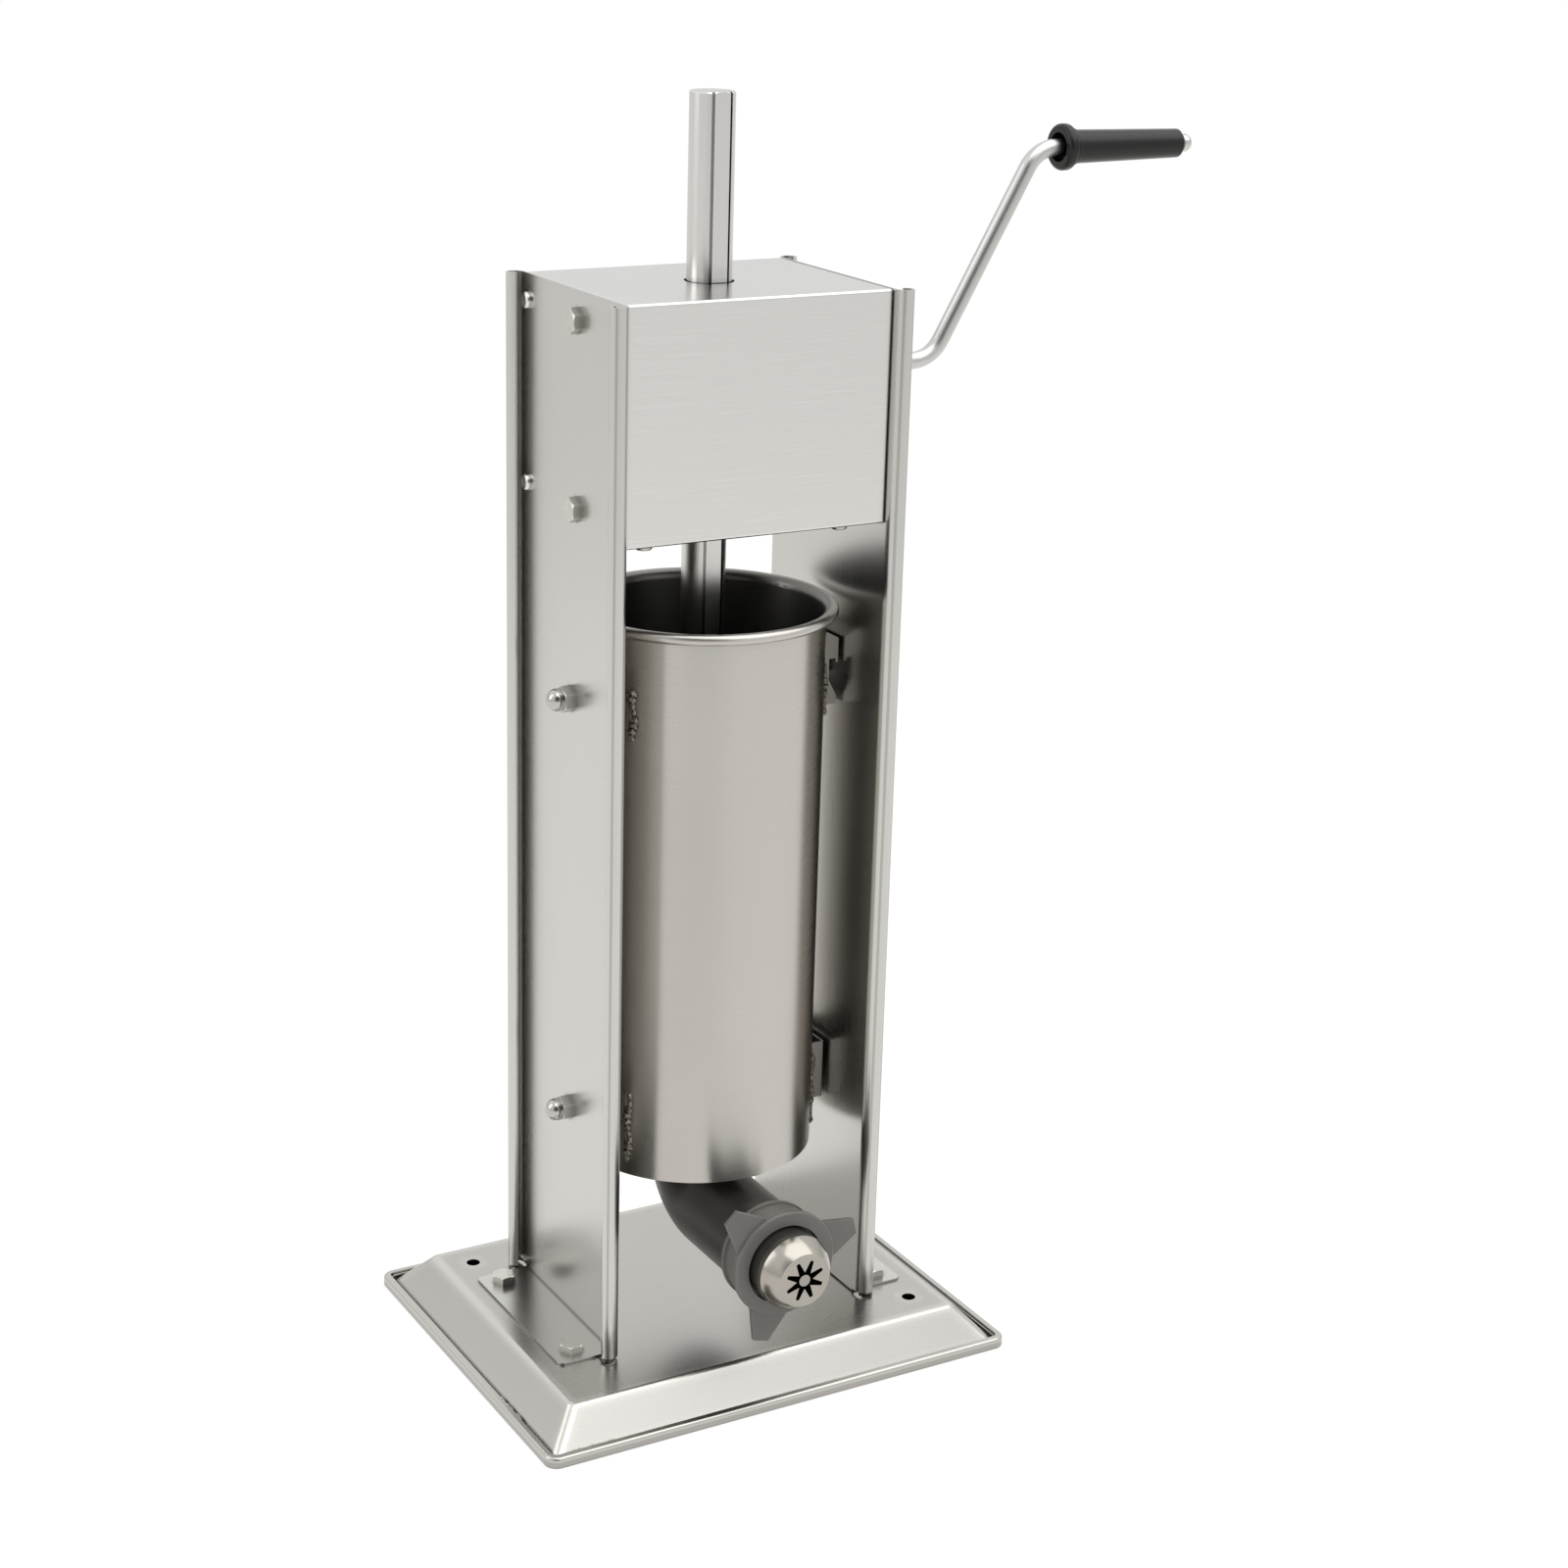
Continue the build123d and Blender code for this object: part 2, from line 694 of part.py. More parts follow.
def make_right_gear_plate():
    end = right_plate_x + gear_plate_thickness
    bore = bar_x(right_plate_x - 1, end + 1, crank_y, crank_height, crank_radius + bush_wall)
    return make_gear_plate(right_plate_x) - bore


def plain_bush(start, end, y, z, shaft_radius):
    outside = bar_x(start, end, y, z, shaft_radius + bush_wall)
    return outside - bar_x(start - 1, end + 1, y, z, shaft_radius + running_gap)


def flanged_bush(start, end, flange_x, y, z, shaft_radius):
    """Bush from start to end with a flange that begins at flange_x."""
    outside = bar_x(start, end, y, z, shaft_radius + bush_wall)
    outside += bar_x(flange_x, flange_x + bush_flange, y, z, shaft_radius + bush_flange_wall)
    return outside - bar_x(start - 1, end + 1, y, z, shaft_radius + running_gap)


def make_shaft_bushes():
    left_end = left_plate_x + gear_plate_thickness
    right_end = right_plate_x + gear_plate_thickness
    return [plain_bush(left_plate_x, left_end, gear_shaft_y, rack_pinion_height, gear_shaft_radius),
            plain_bush(right_plate_x, right_end, gear_shaft_y, rack_pinion_height, gear_shaft_radius),
            plain_bush(right_plate_x, right_end, crank_y, crank_height, crank_radius)]


def make_crank_bush():
    start = web_inside - 4.0
    return flanged_bush(start, web_outside + bush_flange, web_outside, crank_y, crank_height, crank_radius)


# Studs and nuts that hold the cylinder

def make_cylinder_studs():
    stud_end = web_outside + acorn_height - acorn_wall - 1.5
    return both_sides([bar_x(web_inside - stud_reach, stud_end, 0, height,
                             bolt_radius) for height in stud_heights])


def make_acorn_nuts():
    return both_sides([facing_right(acorn_nut(), web_outside, 0, height) for height in stud_heights])


# Rod and piston

def make_rack_cutter():
    """Everything behind the rack's teeth, as one comb-shaped block."""
    pitch = pi * rack_module
    half_tooth = (pitch / 2 - tooth_thinning) / 2
    slope = tan(pressure_angle)
    tip_plane = rack_pitch_depth + rack_addendum
    root_plane = rack_pitch_depth - rack_module - tooth_tip_clearance
    tip_half = half_tooth - rack_addendum * slope
    root_half = half_tooth + (rack_pitch_depth - root_plane) * slope
    below = ceil(travel_up / pitch) + rack_spare_teeth
    above = ceil(travel_down / pitch) + rack_spare_teeth
    points = []
    for index in range(-below, above + 1):
        centre = rack_pinion_height + index * pitch
        points += [(root_plane, centre - root_half), (tip_plane, centre - tip_half),
                   (tip_plane, centre + tip_half), (root_plane, centre + root_half)]
    far = rod_radius + 2
    points = [(far, points[0][1] - pitch / 3), (root_plane, points[0][1] - pitch / 3)] + points
    points += [(root_plane, points[-1][1] + pitch / 3), (far, points[-1][1] + pitch / 3)]
    return extrude(in_side_view(points), far, both=True)


def make_rack_rod():
    rod = bar_z(rod_foot, rod_top, 0, 0, rod_radius)
    rod = chamfer(rod.edges().group_by(Axis.Z)[-1], rod_chamfer)
    rod -= block(-rod_radius, rod_radius, -rod_radius - 1, -rod_land_depth, rod_foot - 1, rod_top + 1)
    for side in (-1, 1):
        groove = block(-rod_groove_width / 2, rod_groove_width / 2, -rod_radius - 1,
                       rod_groove_depth - rod_radius,
                       rod_foot - 1, rod_top + 1)
        rod -= Rot(0, 0, side * rod_groove_angle) * groove
    rod -= make_rack_cutter()
    return rod + bar_z(rod_end, rod_foot, 0, 0, rod_stub_radius)


def make_piston():
    radius = bore_radius - piston_gap
    bottom = rod_foot - piston_height
    piston = bar_z(bottom, rod_foot, 0, 0, radius)
    piston = fillet(piston.edges().filter_by(GeomType.CIRCLE), piston_edge_radius)
    middle = (bottom + rod_foot) / 2
    groove_radius = bore_radius - seal_gap - seal_depth
    groove = bar_z(middle - seal_height / 2, middle + seal_height / 2, 0, 0, radius + 1)
    groove -= bar_z(middle - seal_height, middle + seal_height, 0, 0, groove_radius)
    return piston - groove - bar_z(bottom - 1, rod_foot + 1, 0, 0, rod_stub_radius + hub_press_gap)


def make_piston_seal():
    middle = rod_foot - piston_height / 2
    groove_radius = bore_radius - seal_gap - seal_depth
    seal = bar_z(middle - seal_height / 2, middle + seal_height / 2, 0, 0, bore_radius - seal_gap)
    seal = fillet(seal.edges().filter_by(GeomType.CIRCLE), 1.0)
    return seal - bar_z(middle - seal_height, middle + seal_height, 0, 0, groove_radius)


def make_piston_nut():
    blank = Rot(180, 0, 0) * hex_prism(piston_nut_flats, piston_nut_height, 1.5)
    nut = Pos(0, 0, piston_nut_bottom + piston_nut_height) * blank
    return nut - bar_z(rod_end - 1, rod_foot, 0, 0, rod_stub_radius + thread_clearance)


# Gears and shafts

def make_gear_shaft():
    start = left_plate_x - shaft_end_length
    end = large_gear_x + large_gear_width + shaft_end_length
    shaft = bar_x(start, end, gear_shaft_y, rack_pinion_height, gear_shaft_radius)
    return chamfer(shaft.edges().filter_by(GeomType.CIRCLE), 0.8)


def make_rack_pinion():
    root_depth = rack_addendum + tooth_tip_clearance
    phase = 180 + 180 / rack_pinion_teeth
    face = gear_face(rack_module, rack_pinion_teeth, rack_module, root_depth, phase)
    return gear_on_x(face, -rack_pinion_width / 2, gear_shaft_y, rack_pinion_height, rack_pinion_width,
                     gear_shaft_radius + hub_press_gap)


def mesh_angle():
    """Direction from the large gear to the crank's pinion, in degrees."""
    return degrees(atan2(crank_height - rack_pinion_height, crank_y - gear_shaft_y))


def make_large_gear():
    face = gear_face(gear_module, large_gear_teeth, large_gear_addendum, gear_module + tooth_tip_clearance,
                     mesh_angle())
    return gear_on_x(face, large_gear_x, gear_shaft_y, rack_pinion_height, large_gear_width,
                     gear_shaft_radius + hub_press_gap)


def make_crank_pinion():
    root_depth = large_gear_addendum + tooth_tip_clearance
    phase = mesh_angle() + 180 + 180 / crank_pinion_teeth
    face = gear_face(gear_module, crank_pinion_teeth, gear_module, root_depth, phase)
    return gear_on_x(face, crank_pinion_x, crank_y, crank_height, crank_pinion_width,
                     crank_radius + hub_press_gap)


def make_shaft_rings():
    """Spring rings that keep the gear shaft between its plates."""
    radius = gear_shaft_radius + 2.5
    left = left_plate_x - collar_gap
    rings = []
    for start, end in ((left - 1.5, left), (-rack_pinion_width / 2 - 2.0, -rack_pinion_width / 2)):
        ring = bar_x(start, end, gear_shaft_y, rack_pinion_height, radius)
        rings.append(ring - bar_x(start - 1, end + 1, gear_shaft_y, rack_pinion_height,
                                  gear_shaft_radius + hub_press_gap))
    return rings


# Crank and grip

def make_crank_rod():
    stub_start = grip_end + grip_end_gap
    path = FilletPolyline((crank_start, crank_y, crank_height), (crank_knee, crank_y, crank_height),
                          (crank_shoulder, crank_y, grip_height), (stub_start, crank_y, grip_height),
                          radius=crank_bend_radius)
    rod = sweep(Plane.YZ.offset(crank_start) * Pos(crank_y, crank_height, 0) * Circle(crank_radius), path)
    return rod + bar_x(stub_start, stub_start + cap_nut_length - 2, crank_y, grip_height,
                       cap_nut_stub_radius)


def make_crank_collars():
    outside = web_outside + bush_flange + collar_gap
    inside = web_inside - 4.0 - collar_gap - collar_width
    collars = []
    for start in (outside, inside):
        end = start + collar_width
        collar = bar_x(start, end, crank_y, crank_height, collar_radius)
        collar = chamfer(collar.edges().filter_by(GeomType.CIRCLE), 0.8)
        collars.append(collar - bar_x(start - 1, end + 1, crank_y, crank_height,
                                      crank_radius + hub_press_gap))
    return collars


def make_grip():
    flange_end = grip_start + grip_flange_width
    bead_end = flange_end + grip_bead_width
    sleeve = turned([(0, grip_start), (grip_flange_radius, grip_start), (grip_flange_radius, flange_end),
                     (grip_bead_radius, flange_end), (grip_bead_radius, bead_end), (grip_neck_radius,
                                                                                    bead_end),
                     (grip_end_radius, grip_end - grip_end_chamfer),
                     (grip_end_radius - grip_end_chamfer, grip_end), (0, grip_end)])
    circles = sleeve.edges().filter_by(GeomType.CIRCLE)
    bead_rim = circles.filter_by(lambda edge: abs(edge.radius - grip_bead_radius) < 0.1).sort_by(Axis.Z)[-1]
    sleeve = fillet(bead_rim, (grip_bead_radius - grip_neck_radius) * 0.9)
    circles = sleeve.edges().filter_by(GeomType.CIRCLE)
    flange_rims = circles.filter_by(lambda edge: edge.radius > grip_flange_radius - 0.1)
    sleeve = fillet(flange_rims, grip_flange_rounding)
    sleeve -= bar_z(grip_start - 1, grip_end + 1, 0, 0, crank_radius + running_gap)
    sleeve -= bar_z(grip_start - 1, grip_start + grip_mouth_depth, 0, 0, grip_mouth_radius)
    return Pos(0, crank_y, grip_height) * Rot(0, 90, 0) * sleeve


def make_grip_stop_ring():
    end = grip_start + grip_mouth_depth - collar_gap
    start = end - stop_ring_width
    ring = bar_x(start, end, crank_y, grip_height, stop_ring_radius)
    return ring - bar_x(start - 1, end + 1, crank_y, grip_height, crank_radius + hub_press_gap)


def make_grip_cap_nut():
    start = grip_end + grip_end_gap
    end = start + cap_nut_length
    nut = bar_x(start, end, crank_y, grip_height, cap_nut_radius)
    dome = nut.edges().filter_by(GeomType.CIRCLE).group_by(Axis.X)[-1]
    nut = fillet(dome, cap_nut_radius * 0.85)
    return nut - bar_x(start - 1, end - 2, crank_y, grip_height, cap_nut_stub_radius + hub_press_gap)


# Filling cylinder

def make_cylinder():
    rim_x = bore_radius + rim_bend_radius
    bend_height = rim_top - rim_bend_radius
    inner_curl = rim_curl_radius - cylinder_wall
    curl_end = 90 - rim_curl_turn
    end_x = cos(radians(curl_end))
    end_z = sin(radians(curl_end))
    profile = [
        Line((bore_radius, cylinder_bottom), (bore_radius, bend_height)),
        CenterArc((rim_x, bend_height), rim_bend_radius, 90, 90),
        CenterArc((rim_x, rim_curl_height), rim_curl_radius, curl_end, rim_curl_turn),
        Line((rim_x + rim_curl_radius * end_x, rim_curl_height + rim_curl_radius * end_z),
             (rim_x + inner_curl * end_x, rim_curl_height + inner_curl * end_z)),
        CenterArc((rim_x, rim_curl_height), inner_curl, curl_end, rim_curl_turn),
        CenterArc((rim_x, bend_height), rim_bend_radius - cylinder_wall, 90, 90),
        Line((cylinder_outside, bend_height), (cylinder_outside, cylinder_bottom)),
        Line((cylinder_outside, cylinder_bottom), (bore_radius, cylinder_bottom)),
    ]
    return revolve(Plane.XZ * make_face(profile), Axis.Z)


def make_cylinder_bottom():
    top = cylinder_bottom + bottom_plate
    plate = bar_z(cylinder_bottom, top, 0, 0, bore_radius)
    return plate - bar_z(cylinder_bottom - 1, top + 1, 0, 0, elbow_radius - elbow_wall)


def against_cylinder(solid):
    """Trim a bracket so that it lies on the cylinder's wall."""
    return solid - bar_z(cylinder_bottom, rim_curl_height, 0, 0, cylinder_outside)


def make_saddle(bottom, top):
    """Curved foot of a right-hand bracket, which lies on the cylinder's wall."""
    outside = cylinder_outside + bracket_sheet
    saddle = bar_z(bottom, top, 0, 0, outside) - bar_z(bottom, top, 0, 0, cylinder_outside)
    reach = outside + 5
    edge = radians(saddle_half_angle)
    wedge = make_face(Polyline((0, 0), (reach, -reach * tan(edge)), (reach, reach * tan(edge)), close=True))
    return saddle & Pos(0, 0, bottom) * extrude(wedge, top - bottom)


def make_right_hook():
    """Upper bracket: two jaws on a spine, with the stud between them."""
    root = cylinder_outside - 4
    spine = cylinder_outside + hook_spine
    lip = bracket_outside - hook_lip_width
    outline = [(root, hook_bottom), (bracket_outside - 0.6, hook_bottom),
               (bracket_outside - 0.6, hook_ramp_foot),
               (spine, hook_seat), (spine, hook_jaw), (lip, hook_jaw), (lip, hook_jaw - hook_lip_drop),
               (bracket_outside, hook_jaw - hook_lip_drop), (bracket_outside, hook_top - 2.5),
               (spine - 1.5, hook_top + 1.5), (root, hook_top + 1.5)]
    hook = extrude(in_front_view(outline), bracket_width / 2, both=True)
    return against_cylinder(hook) + make_saddle(hook_bottom, hook_jaw)


def make_right_channel():
    """Lower bracket: an upright channel that sits on the stud by a slot open at its foot."""
    half = bracket_width / 2
    root = cylinder_outside - 4
    channel = block(root, bracket_outside, -half, half, channel_bottom, channel_top)
    upright = channel.edges().filter_by(Axis.Z).group_by(Axis.X)[-1]
    channel = fillet(upright, bracket_sheet)
    inside = bracket_outside - bracket_sheet
    channel -= block(root - 1, inside, bracket_sheet - half, half - bracket_sheet, channel_bottom - 1,
                     channel_top + 1)
    slot_half = bolt_radius + slot_side_gap
    slot_centre = stud_lower_height + slot_top_gap - slot_side_gap
    channel -= bar_x(inside - 1, bracket_outside + 1, 0, slot_centre, slot_half)
    channel -= block(inside - 1, bracket_outside + 1, -slot_half, slot_half, channel_bottom - 1,
                     slot_centre)
    return against_cylinder(channel) + make_saddle(channel_tail, channel_top)


def make_bracket_welds():
    """Weld beads along both edges of each saddle."""
    radius = bracket_weld_radius
    edge = saddle_half_angle + degrees(0.8 * radius / cylinder_outside)
    beads = []
    for bottom, top, count in ((hook_bottom, hook_jaw, hook_weld_count),
                               (channel_tail, channel_top, channel_weld_count)):
        saddle = make_saddle(bottom, top)
        spacing = (top - bottom) / count
        for index in range(count):
            height = bottom + (index + 0.5) * spacing
            for side in (-1, 1):
                bead = weld_bead(cylinder_outside, 0, height, radius, (0.6, 1.0, 0.42 * spacing / radius))
                bead = Rot(0, 0, side * edge) * bead
                beads.append(against_cylinder(bead) - saddle)
    return both_sides(beads)


# Outlet

def make_outlet_elbow():
    path = FilletPolyline((0, 0, cylinder_bottom), (0, 0, outlet_height), (0, -elbow_end, outlet_height),
                          radius=elbow_bend_radius)
    start = Plane(origin=(0, 0, cylinder_bottom), z_dir=(0, 0, -1))
    outside = sweep(start * Circle(elbow_radius), path)
    inside = sweep(start * Circle(elbow_radius - elbow_wall), path)
    return outside - inside


def on_outlet(solid):
    """Turn a solid drawn along Z so that its Z runs to the front on the outlet's axis."""
    return Pos(0, 0, outlet_height) * Rot(90, 0, 0) * solid


def make_wing_nut():
    lip_back = nut_front - nut_lip_thickness
    ring_back = nut_front - nut_ring_thickness
    bead_front = nut_skirt_end + nut_bead_width
    thread_radius = elbow_radius + nut_thread_gap
    nut = turned([(nut_opening_radius, nut_front), (nut_ring_radius - nut_edge_chamfer, nut_front),
                  (nut_ring_radius, nut_front - nut_edge_chamfer), (nut_ring_radius, ring_back),
                  (nut_skirt_radius, ring_back), (nut_skirt_radius, bead_front), (nut_bead_radius,
                                                                                  bead_front),
                  (nut_bead_radius, nut_skirt_end), (thread_radius, nut_skirt_end), (thread_radius,
                                                                                     lip_back),
                  (nut_opening_radius, lip_back)])
    wing_front = nut_front - wing_recess
    for index in range(wing_count):
        middle = wing_angle + index * 360 / wing_count
        corners = [(nut_skirt_radius, middle - wing_root_half_angle),
                   (wing_reach, middle - wing_tip_half_angle),
                   (wing_reach, middle + wing_tip_half_angle), (nut_skirt_radius,
                                                                middle + wing_root_half_angle)]
        outline = Polyline(*[(r * cos(radians(a)), r * sin(radians(a))) for r, a in corners], close=True)
        wing = extrude(make_face(outline), wing_thickness)
        nut += Pos(0, 0, wing_front - wing_thickness) * wing
    hollow = bar_z(nut_skirt_end, lip_back, 0, 0, thread_radius)
    opening = bar_z(nut_skirt_end, nut_front + 1, 0, 0, nut_opening_radius)
    return on_outlet(nut - hollow - opening)


def make_nozzle_sleeve():
    flange_front = nozzle_flange_back + nozzle_flange_thickness
    flange_radius = elbow_radius - nozzle_flange_gap
    inside = nozzle_barrel_radius - nozzle_wall
    sleeve = turned([(inside, nozzle_flange_back), (flange_radius, nozzle_flange_back),
                     (flange_radius, flange_front),
                     (nozzle_barrel_radius, flange_front), (nozzle_barrel_radius, cap_back), (inside,
                                                                                              cap_back)])
    return on_outlet(sleeve)


def cap_profile(outside, face_radius, front):
    """Edge from the cap's back, round its shoulder, to the axis."""
    shoulder = nut_front + cap_shoulder
    middle_radius = outside - (outside - face_radius) * 0.41
    middle_height = front - (front - shoulder) * 0.47
    return [Line((outside, cap_back), (outside, shoulder)),
            ThreePointArc((outside, shoulder), (middle_radius, middle_height), (face_radius, front)),
            Line((face_radius, front), (0, front))]


def make_nozzle_cap():
    outside = nozzle_barrel_radius + cap_step
    outer = cap_profile(outside, cap_face_radius, nozzle_front)
    inner = cap_profile(outside - cap_wall, cap_face_radius - cap_wall, nozzle_front - cap_wall)
    walls = [Line((outside, cap_back), (outside - cap_wall, cap_back)),
             Line((0, nozzle_front), (0, nozzle_front - cap_wall))]
    cap = revolve(Plane.XZ * make_face(outer + inner + walls), Axis.Z)
    cutter = Pos(0, 0, cap_back) * extrude(make_star(), nozzle_front - cap_back + 1)
    return on_outlet(cap - cutter)


def make_star():
    """The eight-armed opening, with blunt arm ends."""
    points = []
    half_tip = degrees(star_tip_width / 2 / star_tip_radius)
    for index in range(star_arms):
        middle = star_angle + index * 360 / star_arms
        points += [(star_notch_radius, middle - 180 / star_arms), (star_tip_radius, middle - half_tip),
                   (star_tip_radius, middle + half_tip)]
    star = make_face(Polyline(*[(r * cos(radians(a)), r * sin(radians(a))) for r, a in points], close=True))
    tips = [corner for corner in star.vertices() if sqrt(corner.X**2 + corner.Y**2) > star_tip_radius - 0.1]
    return fillet(tips, star_tip_rounding)


def make_nozzle_pin():
    """Centre pin on three legs, which makes the dough hollow."""
    back = nozzle_front - nozzle_pin_length
    reach = nozzle_barrel_radius - nozzle_wall
    pin = bar_z(back, nozzle_front, 0, 0, nozzle_pin_radius)
    half = spider_leg_width / 2
    for index in range(spider_legs):
        leg = block(0, reach + 1, -half, half, cap_back - spider_leg_depth - 1, cap_back - 1)
        pin += Rot(0, 0, 90 + index * 360 / spider_legs) * leg
    pin += bar_z(cap_back - spider_leg_depth - 1, nozzle_front, 0, 0, nozzle_pin_radius)
    return on_outlet(pin & bar_z(back - 20, nozzle_front, 0, 0, reach))


# Every node and the function that makes it

nodes = {
    "base_tray": make_base_tray,
    "base_cover": make_base_cover,
    "foot_bolts": make_foot_bolts,
    "foot_nuts": make_foot_nuts,
    "left_column": make_left_column,
    "right_column": make_right_column,
    "column_foot_welds": make_column_foot_welds,
    "gearbox_cover": make_gearbox_cover,
    "gearbox_floor": make_gearbox_floor,
    "floor_screws": make_floor_screws,
    "floor_nuts": make_floor_nuts,
    "rear_cover": make_rear_cover,
    "rear_cover_screws": make_rear_cover_screws,
    "rear_cover_nuts": make_rear_cover_nuts,
    "lower_guide_block": lambda: make_guide_block(lower_block_bottom),
    "upper_guide_block": lambda: make_guide_block(upper_block_bottom),
    "guide_bolts": make_guide_bolts,
    "left_gear_plate": lambda: make_gear_plate(left_plate_x),
    "right_gear_plate": make_right_gear_plate,
    "shaft_bushes": make_shaft_bushes,
    "crank_bush": make_crank_bush,
    "cylinder_studs": make_cylinder_studs,
    "acorn_nuts": make_acorn_nuts,
    "rack_rod": make_rack_rod,
    "piston": make_piston,
    "piston_seal": make_piston_seal,
    "piston_nut": make_piston_nut,
    "gear_shaft": make_gear_shaft,
    "rack_pinion": make_rack_pinion,
    "large_gear": make_large_gear,
    "shaft_rings": make_shaft_rings,
    "crank_rod": make_crank_rod,
    "crank_pinion": make_crank_pinion,
    "crank_collars": make_crank_collars,
    "grip": make_grip,
    "grip_stop_ring": make_grip_stop_ring,
    "grip_cap_nut": make_grip_cap_nut,
    "cylinder": make_cylinder,
    "cylinder_bottom": make_cylinder_bottom,
    "right_upper_bracket": make_right_hook,
    "left_upper_bracket": lambda: mirror(make_right_hook(), Plane.YZ),
    "right_lower_bracket": make_right_channel,
    "left_lower_bracket": lambda: mirror(make_right_channel(), Plane.YZ),
    "bracket_welds": make_bracket_welds,
    "outlet_elbow": make_outlet_elbow,
    "wing_nut": make_wing_nut,
    "nozzle_sleeve": make_nozzle_sleeve,
    "nozzle_cap": make_nozzle_cap,
    "nozzle_pin": make_nozzle_pin,
}

os.makedirs("parts", exist_ok=True)
for name, make in nodes.items():
    made = make()
    solids = [solid for item in (made if isinstance(made, list) else [made]) for solid in item.solids()]
    export_step(solids[0] if len(solids) == 1 else Compound(children=solids), f"parts/{name}.step")
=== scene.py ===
"""Looks for the churro maker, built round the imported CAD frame. Metres, +Z up, the front faces -Y."""
import json
import math

import bmesh
import bpy
from mathutils import Matrix, Vector, noise


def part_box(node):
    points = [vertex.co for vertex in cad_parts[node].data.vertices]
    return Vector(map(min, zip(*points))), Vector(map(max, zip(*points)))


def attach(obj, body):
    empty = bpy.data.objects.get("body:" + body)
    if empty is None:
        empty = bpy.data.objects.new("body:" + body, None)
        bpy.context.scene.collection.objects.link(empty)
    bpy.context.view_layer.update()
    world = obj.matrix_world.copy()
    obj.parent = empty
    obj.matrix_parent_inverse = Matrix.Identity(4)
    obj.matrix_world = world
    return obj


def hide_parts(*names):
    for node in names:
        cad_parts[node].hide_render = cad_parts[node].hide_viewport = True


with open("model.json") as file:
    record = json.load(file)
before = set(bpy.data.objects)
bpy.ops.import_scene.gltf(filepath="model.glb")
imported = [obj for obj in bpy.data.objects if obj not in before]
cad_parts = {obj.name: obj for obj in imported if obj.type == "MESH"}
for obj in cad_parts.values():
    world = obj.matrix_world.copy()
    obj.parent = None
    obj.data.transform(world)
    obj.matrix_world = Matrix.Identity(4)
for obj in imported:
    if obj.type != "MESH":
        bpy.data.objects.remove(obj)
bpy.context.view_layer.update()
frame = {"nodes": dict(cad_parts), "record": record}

# Camera, as fitted to the photograph's edges and circles
CAMERA_PLACE = Vector((-0.7786, -1.4259, 0.9000))
CAMERA_FORWARD = Vector((0.4801, 0.8177, -0.3177)).normalized()
CAMERA_ROLL = math.radians(1.70)
CAMERA_LENS = 66.06
CAMERA_SENSOR = 36.0
CAMERA_REACH = 50.0

camera = bpy.data.objects.new("camera", bpy.data.cameras.new("camera"))
bpy.context.scene.collection.objects.link(camera)
level_right = CAMERA_FORWARD.cross(Vector((0, 0, 1))).normalized()
level_up = level_right.cross(CAMERA_FORWARD)
right = level_right * math.cos(CAMERA_ROLL) + level_up * math.sin(CAMERA_ROLL)
up = level_up * math.cos(CAMERA_ROLL) - level_right * math.sin(CAMERA_ROLL)
turn = Matrix((right, up, -CAMERA_FORWARD)).transposed().to_4x4()
camera.matrix_world = Matrix.Translation(CAMERA_PLACE) @ turn
camera.data.sensor_width = CAMERA_SENSOR
camera.data.lens = CAMERA_LENS
camera.data.clip_end = CAMERA_REACH
bpy.context.scene.camera = camera
bpy.context.scene.view_settings.view_transform = "Standard"


# Node trees

BLACK = (0.0, 0.0, 0.0, 1.0)
WHITE = (1.0, 1.0, 1.0, 1.0)


